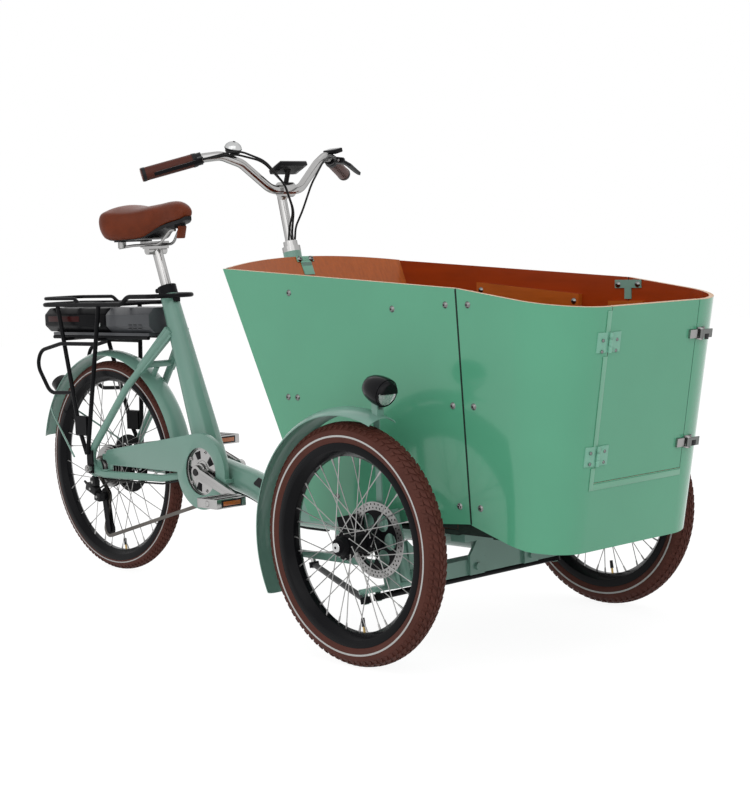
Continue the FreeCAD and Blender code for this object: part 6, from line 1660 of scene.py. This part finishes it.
@dataclass
class Carrier:
    """Rack with the battery's band and lock and the controller's slots."""

    case_ease: float = 0.004
    battery_back: float = FRONT_AXLE_X - 1.628
    battery_front: float = FRONT_AXLE_X - 1.335
    battery_half: float = 0.052
    band_strip: Block = Block((0.150, 0.0016, 0.0150), 0.0006)
    band_start: float = 0.020
    band_z: float = 0.690
    lock: Turned = Turned(0.0, 0.003, 0.0085, 0.0078, 24)
    lock_back: float = 0.030
    lock_z: float = 0.676
    # Dark slot of the keyhole: painted shade for the recess.
    keyhole_shade: Block = Block((0.0016, 0.0008, 0.0075))
    keyhole_out: float = 0.0032
    case_front: float = FRONT_AXLE_X - 1.139
    slot_lip: Block = Block((0.0165, 0.0016, 0.0040), 0.0004)
    # Dark inside of each slot: painted shade for the opening.
    slot_shade: Block = Block((0.0150, 0.0016, 0.0022))
    slot_out: float = 0.0002
    slot_up: float = 0.0006
    slot_rows: int = 2
    slot_columns: int = 3
    # First slot behind the case's front and above its foot, and the steps between slots.
    slot_start: tuple[float, float] = (0.040, 0.020)
    slot_step: tuple[float, float] = (0.022, 0.0095)

    def build(self) -> None:
        """Make the trim and dress the rack."""
        dress("rear_rack", Finishes.POWDER)
        eased("battery_pack", "battery", Finishes.BATTERY, self.case_ease)
        eased("controller_case", "frame", Finishes.GREY, self.case_ease)
        self.band()
        self.slots()

    def band(self) -> None:
        """Dark red band along both sides of the battery and a key lock, with painted shade in its keyhole."""
        mesh = bmesh.new()
        middle_x = self.battery_back + self.band_start + self.band_strip.size[0] / 2
        for side in (-1, 1):
            self.band_strip.at(mesh, (middle_x, side * self.battery_half, self.band_z))
        spot = Vector((self.battery_front - self.lock_back, -self.battery_half, self.lock_z))
        paint_faces(self.lock.on(mesh, spot, -AXLE), 1)
        paint_faces(self.keyhole_shade.at(mesh, spot - AXLE * self.keyhole_out), 2)
        piece("battery_band", mesh, [Finishes.DARK_RED, Finishes.CHROME, Finishes.PLASTIC], "battery")

    def slots(self) -> None:
        """Short pale-lipped cooling slots low on both sides of the controller, with painted shade inside them.
        """
        low, high = (Vector(corner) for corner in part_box("controller_case"))
        mesh = bmesh.new()
        for side, y in ((-1, low.y), (1, high.y)):
            for index in range(self.slot_rows * self.slot_columns):
                row, column = divmod(index, self.slot_columns)
                x = self.case_front - self.slot_start[0] - self.slot_step[0] * column
                z = low.z + self.slot_start[1] + self.slot_step[1] * row
                self.slot_lip.at(mesh, (x, y, z))
                paint_faces(self.slot_shade.at(mesh, (x, y + side * self.slot_out, z + self.slot_up)), 1)
        piece("controller_slots", mesh, [Finishes.GREY, Finishes.POWDER], "frame")


@dataclass
class Saddle:
    """Wide sprung saddle: padded leather cover over its moulded base."""

    body: str = "seat"
    voxel: float = 0.004
    smooth_factor: float = 0.5
    smooth_rounds: int = 14
    fully_smooth_deg: float = 180.0
    skirt: float = 0.009
    skirt_top: float = 0.945
    skirt_fade: float = 0.03
    skirt_front: float = FRONT_AXLE_X - 1.085
    skirt_run: float = 0.08
    tab_spot: Vector = on_axle(-1.049, 0.0, 0.9135)
    tab_lean: float = 0.30
    tab_block: Block = Block((0.007, 0.026, 0.034), 0.003)

    def build(self) -> None:
        """Make the cover and dress the rest."""
        self.cover()
        self.tab()
        dress("saddle_base", Finishes.PLASTIC)
        dress("saddle_rails", Finishes.STEEL)
        dress("seat_post", Finishes.ALLOY)

    def tab(self) -> None:
        """Leather tab that hangs under the saddle's nose."""
        mesh = bmesh.new()
        self.tab_block.on(mesh, Matrix.Translation(self.tab_spot) @ Matrix.Rotation(self.tab_lean, 4, "Y"))
        piece("saddle_tab", mesh, [Finishes.LEATHER], self.body)

    def cover(self) -> None:
        """Padded cover with softened edges and a lower skirt, swelled from the CAD solid."""
        form = linked("saddle_form", stored("saddle_form", copied("saddle_cover")))
        remesh = form.modifiers.new("even", "REMESH")
        remesh.mode = "VOXEL"
        remesh.voxel_size = self.voxel
        smooth = form.modifiers.new("soft", "SMOOTH")
        smooth.factor = self.smooth_factor
        smooth.iterations = self.smooth_rounds
        baked = bpy.data.meshes.new_from_object(form.evaluated_get(bpy.context.evaluated_depsgraph_get()))
        bpy.data.objects.remove(form)
        soft = bmesh.new()
        soft.from_mesh(baked)
        for v in soft.verts:
            back = min(1.0, max(0.0, (self.skirt_front - v.co.x) / self.skirt_run))
            under = min(1.0, max(0.0, (self.skirt_top - v.co.z) / self.skirt_fade))
            v.co.z -= self.skirt * back * under
        made = piece("saddle_leather", soft, [Finishes.LEATHER], self.body, self.fully_smooth_deg)
        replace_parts(made, "saddle_cover")


@dataclass(frozen=True)
class Link:
    """Moulded link of the derailleur: its block, its middle and its turn round the Y axis."""

    block: Block
    spot: Vector
    turn: float


@dataclass
class Chassis:
    """CAD nodes that stay in view and take their finish, with a pad and the derailleur's links."""

    guard_ease: float = 0.0007
    tube_spot: Vector = on_axle(-0.735, 0.0, 0.2514)
    tube_r: float = 0.035
    tube_fall: float = math.atan2(58.0, 160.0)
    pad: Block = Block((0.076, 0.022, 0.0095), 0.003)
    pad_sink: float = 0.0012
    links: tuple[Link, ...] = (
        Link(Block((0.046, 0.020, 0.022), 0.0035), on_axle(-1.4020, -0.0740, 0.2290), 0.35),
        Link(Block((0.022, 0.018, 0.026), 0.0035), on_axle(-1.3930, -0.0730, 0.2480), -0.2),
        Link(Block((0.026, 0.022, 0.024), 0.0035), on_axle(-1.3790, -0.0690, 0.2080), 0.15))
    pin_r: float = 0.0042
    pin_tip: float = 0.0036
    pin_sides: int = 20
    pin_start: float = 0.45
    pin_proud: float = 0.0014
    adjuster_foot: Vector = Vector((-0.022, 0.0, 0.008))
    adjuster_run: Vector = Vector((-0.016, 0.0, 0.010))
    adjuster_r: float = 0.0042
    adjuster_tip: float = 0.0030
    adjuster_sides: int = 16

    def build(self) -> None:
        """Dress every node that keeps its CAD form, and make the pad and the links."""
        finishes = {
            Finishes.ENAMEL: ("main_frame", "cross_beam", "rear_fender", "front_fender_right",
                              "front_fender_left"),
            Finishes.ALLOY: ("headset_cups",),
            Finishes.POWDER: ("seat_collar", "rear_hub", "front_hub_right", "front_hub_left", "tie_rod",
                              "drag_link"),
            Finishes.STEEL: ("rear_axle",),
            Finishes.CABLE: ("frame_cables",),
        }
        for finish, nodes in finishes.items():
            for node in nodes:
                dress(node, finish)
        eased("chain_guard", "frame", Finishes.ENAMEL, self.guard_ease)
        painted = [Finishes.ENAMEL, Finishes.POWDER]
        for node in ("knuckle_right", "knuckle_left"):
            recoloured(node, node + "_body", painted, lambda spot, rank: int(rank > 0))
        self.tube_pad()
        self.derailleur_body()

    def tube_pad(self) -> None:
        """Black pad on the upper right of the main tube, ahead of the crank."""
        mesh = bmesh.new()
        along = Vector((math.cos(self.tube_fall), 0.0, -math.sin(self.tube_fall)))
        out = (Vector((math.sin(self.tube_fall), 0.0, math.cos(self.tube_fall))) - AXLE).normalized()
        turn = Matrix((along, out.cross(along), out)).transposed().to_4x4()
        self.pad.on(mesh, Matrix.Translation(self.tube_spot + out * (self.tube_r - self.pad_sink)) @ turn)
        piece("tube_pad", mesh, [Finishes.PLASTIC], "frame")

    def derailleur_body(self) -> None:
        """Moulded links, pivots and cable adjuster over the derailleur's arm."""
        mesh = bmesh.new()
        pins = []
        for link in self.links:
            link.block.on(mesh, Matrix.Translation(link.spot) @ Matrix.Rotation(link.turn, 4, "Y"))
            wide = link.block.size[1]
            pin = Turned(wide * self.pin_start, wide / 2 + self.pin_proud, self.pin_r, self.pin_tip,
                         self.pin_sides)
            pins += pin.on(mesh, link.spot, -AXLE)
        foot = self.links[0].spot + self.adjuster_foot
        bar(mesh, foot, foot + self.adjuster_run, self.adjuster_r, self.adjuster_tip, self.adjuster_sides)
        paint_faces(pins, 1)
        piece("derailleur_body", mesh, [Finishes.PLASTIC, Finishes.STEEL], "frame")


def wheels() -> list[Wheel]:
    """Sizes of the three wheels.

    Returns:
        The two front wheels and the rear wheel.
    """
    made = []
    for hand, side in (("right", -1.0), ("left", 1.0)):
        made.append(Wheel(
            "front_" + hand, "wheel_" + hand, on_axle(0.0, side * HALF_TRACK, 0.2522), "front_tyre_" + hand,
            "front_rim_spokes_" + hand, tyre_r=0.253, section_r=0.027, bead_r=0.203, rim_half=0.016,
            flange_r=0.029, flange_half=0.027, lugs=88, tread_deg=62.0, mirror=-side))
    made.append(Wheel(
        "rear", "rear_wheel", on_axle(-1.390, 0.0, 0.2862), "rear_tyre", "rear_rim_spokes", tyre_r=0.287,
        section_r=0.0195, bead_r=0.2535, rim_half=0.015, flange_r=0.058, flange_half=0.018, lugs=112,
        tread_deg=66.0, has_rotor=False))
    return made


def main() -> None:
    """Build the studio and every part of the tricycle."""
    logging.basicConfig(level=logging.INFO, format="%(name)s %(message)s")
    Studio().build()
    Chassis().build()
    for wheel in wheels():
        wheel.build()
    for assembly in (CargoBox(), DoorHardware(), Drive(), Lamps(), Cockpit(), Carrier(), Saddle()):
        assembly.build()


if __name__ == "__main__":
    main()
